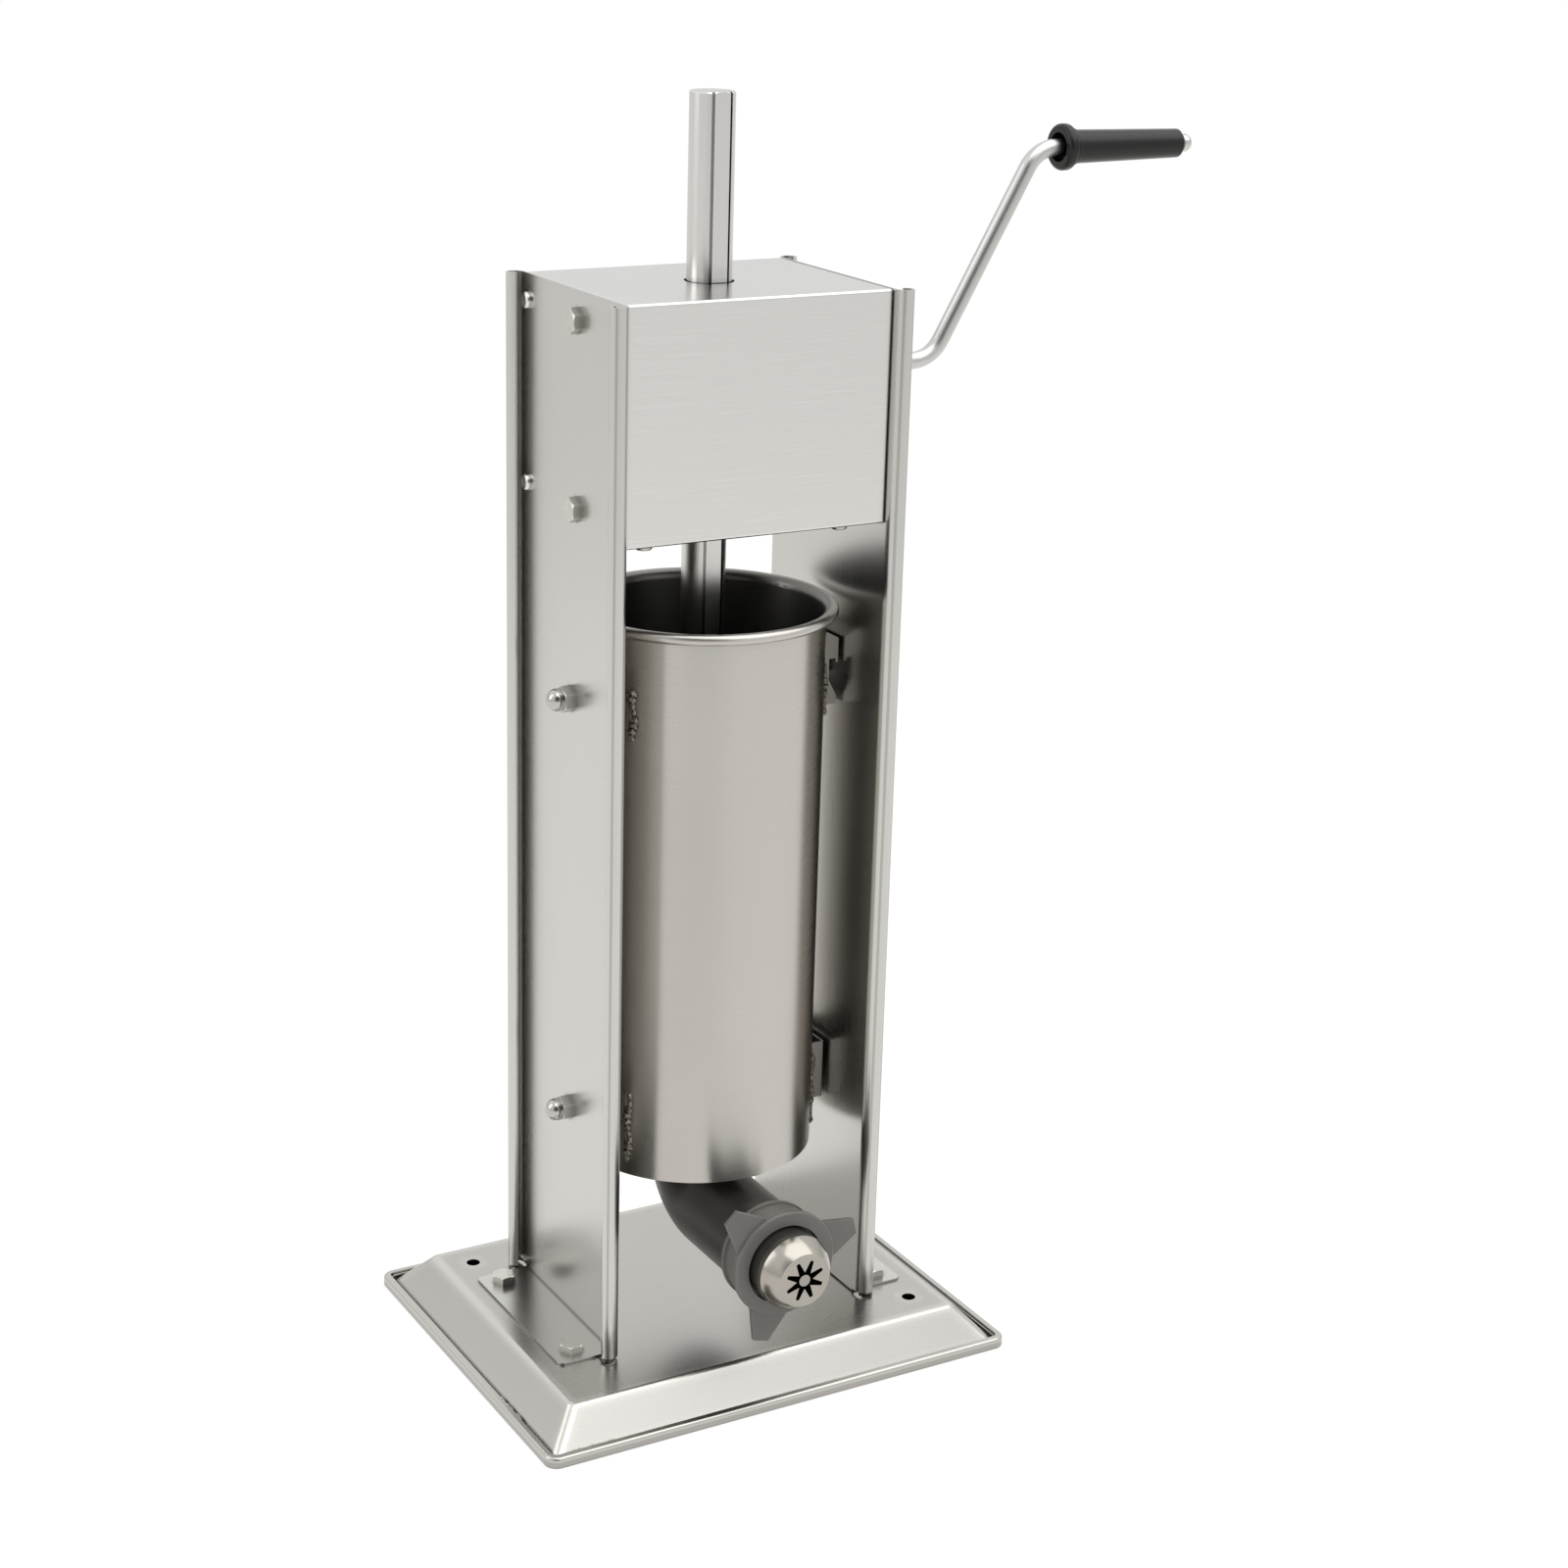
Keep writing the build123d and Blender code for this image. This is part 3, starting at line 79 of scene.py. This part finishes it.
class Tree:
    """A material's or world's node tree, with short ways to add and join nodes."""

    def __init__(self, owner):
        owner.use_nodes = True
        self.nodes = owner.node_tree.nodes
        self.links = owner.node_tree.links

    def add(self, kind, inputs=None, **settings):
        node = self.nodes.new(kind)
        for key, value in settings.items():
            setattr(node, key, value)
        for key, value in (inputs or {}).items():
            self.feed(node.inputs[key], value)
        return node

    def feed(self, socket, value):
        if isinstance(value, bpy.types.NodeSocket):
            self.links.new(value, socket)
        else:
            socket.default_value = value

    def place(self):
        """The point on the piece, in metres."""
        return self.add("ShaderNodeTexCoord").outputs["Object"]

    def along(self, axis, vector):
        return self.add("ShaderNodeSeparateXYZ", {0: vector}).outputs[axis]

    def noise(self, scale, detail, roughness, offset=(0.0, 0.0, 0.0)):
        """Noise stretched by a scale in cycles per metre along each axis."""
        mapped = self.add("ShaderNodeMapping", {"Vector": self.place(), "Scale": scale, "Location": offset})
        return self.add("ShaderNodeTexNoise", {"Vector": mapped.outputs[0], "Scale": 1.0, "Detail": detail,
                                               "Roughness": roughness}).outputs["Fac"]

    def to_range(self, value, low, high, from_low=0.3, from_high=0.7):
        return self.add("ShaderNodeMapRange", {"Value": value, "From Min": from_low, "From Max": from_high,
                                               "To Min": low, "To Max": high}).outputs[0]

    def math(self, operation, *values):
        return self.add("ShaderNodeMath", dict(enumerate(values)), operation=operation).outputs[0]

    def dot(self, first, second):
        joined = self.add("ShaderNodeVectorMath", {0: first, 1: second}, operation="DOT_PRODUCT")
        return joined.outputs["Value"]

    def blend(self, share, first, second):
        mix = self.add("ShaderNodeMix", data_type="RGBA")
        for name, value in (("Factor", share), ("A", first), ("B", second)):
            self.feed([socket for socket in mix.inputs if socket.name == name and socket.enabled][0], value)
        return [socket for socket in mix.outputs if socket.enabled][0]

    def dimmed(self, level, colour):
        """The colour, brought down to a share of itself."""
        return self.blend(level, BLACK, colour)

    def bump(self, height, distance):
        return self.add("ShaderNodeBump", {"Height": height, "Distance": distance,
                                           "Strength": 1.0}).outputs[0]

    def switch(self, ray, usual, special):
        """One shader for a kind of ray, and another for the rest."""
        path = self.add("ShaderNodeLightPath").outputs[ray]
        return self.add("ShaderNodeMixShader", {0: path, 1: usual, 2: special}).outputs[0]


def tinted(colour, factor):
    return tuple(min(1.0, channel * factor) for channel in colour) + (1.0,)


# Painted shade, painted highlights and a painted dark reflection

CORNER_RAYS = 6
EDGE_RAYS = 4
INSIDE_SHADE_SHARE = 0.30
WALL_SHADE_SHARE = 0.74
DARK_REFLECTION_SHARE = 0.72


def shaded_in_corners(tree, colour, reach, darkest, full, none):
    """The colour, darkened with painted shade where another surface stands close by."""
    near = tree.add("ShaderNodeAmbientOcclusion", {"Distance": reach}, samples=CORNER_RAYS).outputs["AO"]
    return tree.dimmed(tree.to_range(near, darkest, 1.0, full, none), colour)


def highlighted_edges(tree, colour, lit_colour, reach, amount, sharp=0.80, flat=0.985):
    """The colour, lightened to a painted highlight along edges. Sharp and flat are cosines, between the true
    normal and one that is rounded over the reach."""
    rounded = tree.add("ShaderNodeBevel", {"Radius": reach}, samples=EDGE_RAYS).outputs[0]
    likeness = tree.dot(rounded, tree.add("ShaderNodeNewGeometry").outputs["Normal"])
    return tree.blend(tree.to_range(likeness, amount, 0.0, sharp, flat), colour, lit_colour)


def shaded_inside(tree, colour):
    """The colour, darkened with painted shade on the surfaces that face the Z axis, inside the tube that
    holds food.
    """
    place = tree.add("ShaderNodeTexCoord")
    flat = tree.add("ShaderNodeVectorMath", {0: place.outputs["Object"], 1: (1.0, 1.0, 0.0)},
                    operation="MULTIPLY").outputs[0]
    outward = tree.dot(flat, place.outputs["Normal"])
    return tree.dimmed(tree.to_range(outward, INSIDE_SHADE_SHARE, 1.0, -0.03, 0.0), colour)


def shaded_below(tree, colour, height):
    """The colour, darkened with painted shade below a height, as on a rim's outer wall."""
    up = tree.along("Z", tree.place())
    return tree.dimmed(tree.to_range(up, WALL_SHADE_SHARE, 1.0, height - 0.0008, height + 0.0002), colour)


def with_dark_reflection(tree, colour, distance):
    """The colour, with a thin painted dark reflection line along a sheet's curl, both sides of Y = 0."""
    outward = tree.math("ABSOLUTE", tree.along("Y", tree.place()))
    off_line = tree.math("ABSOLUTE", tree.math("SUBTRACT", outward, distance))
    return tree.dimmed(tree.to_range(off_line, DARK_REFLECTION_SHARE, 1.0, 0.00025, 0.0006), colour)


# Materials

# Noise is placed apart for each use, so that no two patterns agree
WIDE_OFFSET = (3.1, 1.7, 5.3)
CLOUD_OFFSET = (1.3, 4.1, 2.9)
SCRATCH_OFFSET = (8.2, 0.9, 2.6)
SWELL_OFFSET = (2.7, 0.4, 1.9)
MOULD_OFFSET = (0.7, 2.3, 4.4)

# Patches on sheet and on mouldings, in cycles per metre
SHEET_CLOUDS = (9.0, 9.0, 7.0)
MOULD_CLOUDS = (30.0, 30.0, 30.0)

# How much brighter than its base colour a scratch is, and a painted highlight on a crest or an edge
SCRATCH_SHINE = 1.45
CREST_HIGHLIGHT = 1.35
METAL_EDGE_HIGHLIGHT = 1.4
COAT_EDGE_HIGHLIGHT = 2.1

# Reach of the painted highlights along edges, on metal and on coats
METAL_EDGE = 0.0010
COAT_EDGE = 0.0007
# Reach of the painted shade near fasteners
FASTENER_CORNER = 0.010


def begun(name):
    """A new material, its tree and its shader."""
    material = bpy.data.materials.new(name)
    tree = Tree(material)
    return material, tree, tree.nodes["Principled BSDF"]


def mottled(tree, pattern, colour, tone):
    return tree.blend(tree.to_range(pattern, 0.0, 1.0), tinted(colour, 1 - tone), tinted(colour, 1 + tone))


def brushed(name, colour, roughness, grain, depth=8e-6, spread=0.03, tone=0.015, scratches=0.0,
            corner_shade=0.75, reach=0.006, contact=0.15, smear=0.0, dark_reflection_at=0.0, crest=0.0, wall=0.0):
    """Sheet steel with hairlines along the axis that has the lowest grain scale."""
    material, tree, shader = begun(name)
    fine = tree.noise(grain, 3.0, 0.6)
    wide = tree.noise([value * 0.55 for value in grain], 2.0, 0.55, WIDE_OFFSET)
    cloud = tree.noise(SHEET_CLOUDS, 3.0, 0.5, CLOUD_OFFSET)
    base = mottled(tree, wide, colour, tone)
    rough = tree.to_range(fine, roughness - spread, roughness + spread)
    rough = tree.math("ADD", rough, tree.to_range(cloud, -0.02, 0.02))
    if smear:
        around = tree.add("ShaderNodeTangent", direction_type="RADIAL", axis="Z")
        tree.feed(shader.inputs["Tangent"], around.outputs[0])
        shader.inputs["Anisotropic"].default_value = smear
        shader.inputs["Anisotropic Rotation"].default_value = 0.25
        # Painted shade on the inside faces of the tube
        base = shaded_inside(tree, base)
    if scratches:
        marks = tree.noise([value * 0.8 for value in grain], 1.0, 0.4, SCRATCH_OFFSET)
        share = tree.to_range(marks, 0.0, scratches, 0.66, 0.74)
        base = tree.blend(share, base, tinted(colour, SCRATCH_SHINE))
        rough = tree.math("ADD", rough, tree.to_range(share, 0.0, 0.12, 0.0, 1.0))
    # Painted dark reflection line along the curls
    if dark_reflection_at:
        base = with_dark_reflection(tree, base, dark_reflection_at)
    # Painted highlight along crests
    if crest:
        base = highlighted_edges(tree, base, tinted(colour, CREST_HIGHLIGHT), crest, 1.0, 0.94, 0.998)
    # Painted shade on the wall below a height
    if wall:
        base = shaded_below(tree, base, wall)
    shader.inputs["Metallic"].default_value = 1.0
    # Painted shade where another surface stands close by
    tree.feed(shader.inputs["Base Color"], shaded_in_corners(tree, base, reach, corner_shade, contact, 0.85))
    tree.feed(shader.inputs["Roughness"], rough)
    tree.feed(shader.inputs["Normal"], tree.bump(fine, depth))
    return material


def plated(name, colour, roughness, ripple=1.5e-5, scale=180.0, tone=0.04, edges=0.0, corner_shade=0.30):
    """Polished or plated metal with a faint ripple and small marks."""
    material, tree, shader = begun(name)
    marks = tree.noise((scale * 6,) * 3, 3.0, 0.6)
    swell = tree.noise((scale,) * 3, 2.0, 0.5, SWELL_OFFSET)
    # Random tone, then painted shade where another surface stands close by
    base = shaded_in_corners(tree, mottled(tree, swell, colour, tone), FASTENER_CORNER, corner_shade, 0.40, 0.92)
    # Painted highlight along edges
    if edges:
        base = highlighted_edges(tree, base, tinted(colour, METAL_EDGE_HIGHLIGHT), METAL_EDGE, edges)
    shader.inputs["Metallic"].default_value = 1.0
    tree.feed(shader.inputs["Base Color"], base)
    tree.feed(shader.inputs["Roughness"], tree.to_range(marks, roughness * 0.88, roughness * 1.12))
    tree.feed(shader.inputs["Normal"], tree.bump(swell, ripple))
    return material


def moulded(name, colour, roughness, grain_scale, depth, specular=0.5, edges=0.0):
    """Plastic, rubber or paint with a fine grain."""
    material, tree, shader = begun(name)
    grain = tree.noise((grain_scale,) * 3, 3.0, 0.6)
    cloud = tree.noise(MOULD_CLOUDS, 2.0, 0.5, MOULD_OFFSET)
    base = mottled(tree, cloud, colour, 0.08)
    # Painted highlight along edges
    if edges:
        base = highlighted_edges(tree, base, tinted(colour, COAT_EDGE_HIGHLIGHT), COAT_EDGE, edges)
    shader.inputs["Specular IOR Level"].default_value = specular
    tree.feed(shader.inputs["Base Color"], base)
    tree.feed(shader.inputs["Roughness"], tree.to_range(grain, roughness - 0.07, roughness + 0.07))
    tree.feed(shader.inputs["Normal"], tree.bump(grain, depth))
    return material


# Grain in cycles per metre along X, Y and Z
ALONG_X = (30.0, 4200.0, 4200.0)
ALONG_Z = (4200.0, 4200.0, 30.0)
ROUND_Z = (30.0, 30.0, 4200.0)
COVER_GRAIN = (24.0, 3600.0, 3600.0)
EVEN_GRAIN = (700.0, 700.0, 700.0)
MILLED_GRAIN = (500.0, 900.0, 900.0)

# Distance from Y = 0 of the painted dark reflection line on the columns' curls
CURL_LINE = 0.0693
# Width of the painted highlight along the base cover's crests
CREST_WIDTH = 0.008
# Height below which the rim's wall takes painted shade
RIM_WALL_TOP = 0.0045
BASE_SHEET = dict(depth=8e-7, spread=0.02, tone=0.008, corner_shade=0.40, reach=0.003, contact=0.45)

looks = {
    "satin_sheet": brushed("base_steel", (0.51, 0.497, 0.47), 0.26, ALONG_X, **BASE_SHEET),
    "column_sheet": brushed("column_steel", (0.60, 0.59, 0.565), 0.26, ALONG_Z, depth=8e-7, spread=0.015,
                            tone=0.006, corner_shade=0.50, reach=0.003, contact=0.45, dark_reflection_at=CURL_LINE),
    "cover_sheet": brushed("cover_steel", (0.72, 0.71, 0.69), 0.23, COVER_GRAIN, depth=1.2e-6,
                           spread=0.02, tone=0.012, scratches=0.22),
    "cylinder_sheet": brushed("cylinder_steel", (0.55, 0.53, 0.495), 0.30, ROUND_Z, depth=1e-6, tone=0.01,
                              smear=0.75),
    "bracket_sheet": brushed("bracket_steel", (0.36, 0.345, 0.325), 0.45, EVEN_GRAIN),
    "plated_fasteners": plated("nickel_plate", (0.60, 0.585, 0.54), 0.17, edges=0.8),
    "bright_steel": plated("bright_steel", (0.62, 0.61, 0.59), 0.13, 3e-6, tone=0.02, edges=0.6),
    "satin_chrome": plated("satin_chrome", (0.58, 0.575, 0.56), 0.31, 3e-6, tone=0.015),
    "machined_steel": brushed("machined_steel", (0.50, 0.50, 0.50), 0.33, MILLED_GRAIN),
    "weld_metal": plated("weld_metal", (0.30, 0.275, 0.235), 0.36, 6e-5, 900.0, 0.25),
    "bush_brass": plated("bush_brass", (0.68, 0.52, 0.25), 0.25),
    "seal_rubber": moulded("seal_rubber", (0.72, 0.70, 0.65), 0.55, 900.0, 2e-5),
    "white_nylon": moulded("white_nylon", (0.76, 0.76, 0.73), 0.40, 700.0, 1.5e-5),
    "grey_nylon": moulded("grey_nylon", (0.17, 0.165, 0.152), 0.38, 1100.0, 1.2e-5, edges=0.7),
    "grey_coat": moulded("grey_coat", (0.036, 0.033, 0.029), 0.34, 900.0, 1.2e-5, edges=0.6),
    "black_plastic": moulded("black_plastic", (0.008, 0.008, 0.0075), 0.27, 1200.0, 5e-6, specular=0.35),
}
# Nodes that look unlike the rest of their slot
own_looks = {
    "base_cover": brushed("cover_of_base", (0.50, 0.486, 0.458), 0.27, ALONG_X, **BASE_SHEET,
                          crest=CREST_WIDTH),
    "base_tray": brushed("tray_of_base", (0.53, 0.515, 0.485), 0.26, ALONG_X, **BASE_SHEET,
                         wall=RIM_WALL_TOP),
    "acorn_nuts": plated("acorn_steel", (0.50, 0.49, 0.47), 0.13, 3e-6, tone=0.02, edges=0.8),
    "rear_cover_screws": plated("screw_plate", (0.78, 0.77, 0.74), 0.20, edges=0.6, corner_shade=0.75),
    "nozzle_cap": plated("cap_steel", (0.41, 0.385, 0.345), 0.19, 4e-6, 120.0, 0.03),
    "nozzle_pin": plated("pin_steel", (0.36, 0.34, 0.31), 0.22, 4e-6, 120.0, 0.03),
    # Deep painted shade near other surfaces, as in the rod's grooves
    "rack_rod": brushed("rod_steel", (0.68, 0.67, 0.65), 0.22, ALONG_Z, depth=2e-6, corner_shade=0.10),
}
for part in frame["record"]["subparts"]:
    node = frame["nodes"][part["node"]]
    node.data.materials.clear()
    node.data.materials.append(own_looks.get(part["node"], looks[part["material_slot"]]))


# Pieces made here

SMOOTH_ANGLE = 35.0
WELD_SMOOTH_ANGLE = 80.0


def finished(name, shape, slot, body, sharp=SMOOTH_ANGLE):
    """Turn a bmesh into a piece that rides on a body and takes a slot's look."""
    bmesh.ops.recalc_face_normals(shape, faces=shape.faces)
    mesh = bpy.data.meshes.new(name)
    shape.to_mesh(mesh)
    shape.free()
    for polygon in mesh.polygons:
        polygon.use_smooth = True
    mesh.set_sharp_from_angle(angle=math.radians(sharp))
    mesh.materials.append(looks[slot])
    piece = bpy.data.objects.new(name, mesh)
    bpy.context.scene.collection.objects.link(piece)
    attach(piece, body)
    return piece


def weld_lump(shape, place, size, seed, ripple=0.34):
    """One run of weld metal: a stretched ball, roughened by noise."""
    made = bmesh.ops.create_icosphere(shape, subdivisions=4, radius=1.0)["verts"]
    for vertex in made:
        spot = vertex.co.copy()
        swell = 1 + ripple * noise.noise(spot * 1.7 + Vector((seed, 2 * seed, 0.5)))
        swell += 0.35 * ripple * noise.noise(spot * 5.5 + Vector((0.3, seed, seed)))
        vertex.co = place @ Vector([along * reach * swell for along, reach in zip(spot, size)])


def weld_run(name, places, body, replaced=None, least_radius=0.0, slot="weld_metal"):
    """A group of weld lumps as one piece, kept outside a radius from Z. Each place is (matrix, size)."""
    shape = bmesh.new()
    for index, (place, size) in enumerate(places):
        weld_lump(shape, place, size, 1.37 * index + len(name))
    for vertex in shape.verts:
        radius = math.hypot(vertex.co.x, vertex.co.y)
        if radius < least_radius:
            vertex.co.x *= least_radius / radius
            vertex.co.y *= least_radius / radius
    piece = finished(name, shape, slot, body, WELD_SMOOTH_ANGLE)
    if replaced:
        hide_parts(replaced)


CYLINDER_OUTSIDE = 0.0725
WELD_SINK = 0.0006
SADDLE_EDGE = math.radians(29.6)
# Lowest and highest point of each bracket's foot, and the lumps down each of its edges
BRACKET_FEET = ((0.400, 0.430, 8), (0.136, 0.180, 11))


def bracket_weld_places():
    """Lumps down both edges of each bracket's curved foot."""
    places = []
    for low, high, count in BRACKET_FEET:
        spacing = (high - low) / count
        for index in range(count):
            for side in (0.0, math.pi):
                for edge in (-SADDLE_EDGE, SADDLE_EDGE):
                    wander = 0.0011 * math.sin(7.3 * index + 3.1 * edge + side)
                    angle = side + edge + wander / CYLINDER_OUTSIDE
                    height = low + (index + 0.5) * spacing
                    out = Matrix.Translation((CYLINDER_OUTSIDE + 0.0002, 0, height))
                    swell = 1 + 0.3 * math.sin(5.1 * index + side)
                    places.append((Matrix.Rotation(angle, 4, "Z") @ out,
                                   (0.0016 * swell, 0.0024 * swell, spacing * 0.60)))
    return places


weld_run("cylinder_bracket_welds", bracket_weld_places(), "cylinder", "bracket_welds",
         CYLINDER_OUTSIDE - WELD_SINK)

# From the box of the feet's weld drops to the curl's centre
FOOT_INSET_X = 0.0037
FOOT_INSET_Y = 0.0034


def foot_weld_places():
    """Two drops where each curl of a column meets the base."""
    low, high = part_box("column_foot_welds")
    places = []
    for x in (low.x + FOOT_INSET_X, high.x - FOOT_INSET_X):
        for y in (low.y + FOOT_INSET_Y, high.y - FOOT_INSET_Y):
            outward = math.copysign(0.0015, x)
            places.append((Matrix.Translation((x, y, low.z)), (0.0040, 0.0034, 0.0021)))
            places.append((Matrix.Translation((x + outward, y * 0.975, low.z)), (0.0030, 0.0042, 0.0015)))
    return places


weld_run("column_welds", foot_weld_places(), "frame", "column_foot_welds")

# Groove between the base's cover and its rim: insets from the tray's outline, and the fold's height
RIM_INSIDE = 0.0044
RIM_GROOVE = 0.0011
GROOVE_CORNER = 0.0042
FOLD_TOP = 0.0056

RIM_LUMPS = 7
RIM_LUMP_SPACING = 0.0042
RIM_WELD_INSET = 0.0050
RIM_WELD_FRONT_START = 0.017
RIM_WELD_LEFT_START = 0.052


def rim_weld_places():
    """Short runs of weld in the groove of the base's rim, each side of its front left corner."""
    low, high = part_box("base_tray")
    places = []
    for step in range(RIM_LUMPS):
        inset = RIM_WELD_INSET + 0.0004 * math.sin(2.3 * step)
        further = RIM_LUMP_SPACING * step
        places.append((Matrix.Translation((low.x + RIM_WELD_FRONT_START + further, low.y + inset, FOLD_TOP)),
                       (0.0026, 0.0009, 0.0010)))
        places.append((Matrix.Translation((low.x + inset, low.y + RIM_WELD_LEFT_START + further, FOLD_TOP)),
                       (0.0009, 0.0026, 0.0010)))
    return places


weld_run("rim_welds", rim_weld_places(), "frame", slot="satin_sheet")


def groove_path(low, high, inset, corner, steps=8):
    """Points round a rounded rectangle, inset from the tray's outline, each with its outward direction."""
    points = []
    for index, (side_x, side_y) in enumerate(((1, 1), (-1, 1), (-1, -1), (1, -1))):
        centre_x = side_x * (high.x - inset - corner)
        centre_y = side_y * (high.y - inset - corner)
        for step in range(steps + 1):
            angle = math.pi / 2 * (index + step / steps)
            points.append((centre_x + corner * math.cos(angle), centre_y + corner * math.sin(angle),
                           math.cos(angle), math.sin(angle)))
    return points


def rim_fold(arc_steps=8):
    """Rounded edge of the folded sheet, that lies in the groove between the base's cover and its rim."""
    low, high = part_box("base_tray")
    half = RIM_GROOVE / 2
    foot = FOLD_TOP - 2 * half
    section = [(-half, foot)]
    for step in range(arc_steps + 1):
        angle = math.pi * step / arc_steps
        section.append((-half * math.cos(angle), FOLD_TOP - half + half * math.sin(angle)))
    section.append((half, foot))
    shape = bmesh.new()
    rings = [[shape.verts.new((x + across * out_x, y + across * out_y, height)) for across, height in section]
             for x, y, out_x, out_y in groove_path(low, high, RIM_INSIDE + half, GROOVE_CORNER)]
    for first, second in zip(rings, rings[1:] + rings[:1]):
        for index in range(len(section)):
            following = (index + 1) % len(section)
            shape.faces.new((first[index], second[index], second[following], first[following]))
    finished("rim_fold", shape, "satin_sheet", "frame")


rim_fold()


# Floor, light and background

FLOOR_SIZE = 9.0
FLOOR_DROP = 0.0004
MIRRORED_FLOOR = (1.0, 0.99, 0.975, 1.0)
MIRRORED_ROOM = (0.99, 1.0, 1.0, 1.0)
ROOM_GREY = (0.93, 0.93, 0.93, 1.0)
ROOM_STRENGTH = 0.62
DARK_SIDE = Vector((-0.42, -0.80, 0.43)).normalized()


def grey(level):
    return (level, level, level, 1.0)


def studio_floor():
    """Near white with the object's shadow to the camera; to metal, a pale floor that is brightest
    under the object; plain diffuse to the rest."""
    mesh = bpy.data.meshes.new("floor")
    shape = bmesh.new()
    bmesh.ops.create_grid(shape, x_segments=8, y_segments=8, size=FLOOR_SIZE)
    shape.to_mesh(mesh)
    shape.free()
    floor = bpy.data.objects.new("floor", mesh)
    floor.location.z = -FLOOR_DROP
    bpy.context.scene.collection.objects.link(floor)
    material = bpy.data.materials.new("floor_paint")
    tree = Tree(material)
    plain = tree.add("ShaderNodeBsdfDiffuse", {"Color": grey(0.82)}).outputs[0]
    shaded = tree.add("ShaderNodeBsdfDiffuse", {"Color": grey(0.26)}).outputs[0]
    glow = tree.add("ShaderNodeEmission", {"Color": WHITE, "Strength": 0.85}).outputs[0]
    seen = tree.add("ShaderNodeAddShader", {0: shaded, 1: glow}).outputs[0]
    mapped = tree.add("ShaderNodeMapping", {"Vector": tree.place(), "Scale": (0.3, 0.3, 0.3)}).outputs[0]
    spot = tree.add("ShaderNodeTexGradient", {"Vector": mapped}, gradient_type="QUADRATIC_SPHERE")
    level = tree.to_range(spot.outputs["Fac"], 0.90, 1.05, 0.03, 0.30)
    mirrored = tree.add("ShaderNodeEmission", {"Color": MIRRORED_FLOOR, "Strength": level}).outputs[0]
    unseen = tree.switch("Is Glossy Ray", plain, mirrored)
    tree.feed(tree.nodes["Material Output"].inputs["Surface"], tree.switch("Is Camera Ray", unseen, seen))
    mesh.materials.append(material)


def studio_world():
    """White to the camera; to metal, a pale room that is dimmer at its horizon, bright overhead,
    and dark on the one side where a studio is not lit."""
    world = bpy.data.worlds.new("studio")
    bpy.context.scene.world = world
    tree = Tree(world)
    background = tree.nodes["Background"]
    background.inputs["Color"].default_value = WHITE
    background.inputs["Strength"].default_value = 1.0
    room = tree.add("ShaderNodeBackground", {"Color": ROOM_GREY, "Strength": ROOM_STRENGTH}).outputs[0]
    direction = tree.add("ShaderNodeTexCoord").outputs["Generated"]
    by_height = tree.to_range(tree.along("Z", direction), 0.76, 1.06, 0.10, 0.50)
    by_side = tree.to_range(tree.dot(direction, DARK_SIDE), 1.0, 0.12, 0.80, 0.97)
    level = tree.math("MULTIPLY", by_height, by_side)
    mirrored = tree.add("ShaderNodeBackground", {"Color": MIRRORED_ROOM, "Strength": level}).outputs[0]
    unseen = tree.switch("Is Glossy Ray", room, mirrored)
    tree.feed(tree.nodes["World Output"].inputs["Surface"],
              tree.switch("Is Camera Ray", unseen, background.outputs[0]))


def soft_lamp(name, place, target, width, height, power):
    lamp = bpy.data.lights.new(name, "AREA")
    lamp.shape = "RECTANGLE"
    lamp.size = width
    lamp.size_y = height
    lamp.energy = power
    holder = bpy.data.objects.new(name, lamp)
    holder.location = place
    holder.rotation_euler = (Vector(target) - Vector(place)).to_track_quat("-Z", "Y").to_euler()
    bpy.context.scene.collection.objects.link(holder)


studio_floor()
studio_world()
soft_lamp("ceiling_lamp", (0.7, -0.8, 2.6), (0.3, -0.2, 0.0), 3.4, 2.8, 36.0)
soft_lamp("left_lamp", (-2.4, 0.9, 1.6), (0, 0, 0.4), 1.3, 2.2, 11.0)
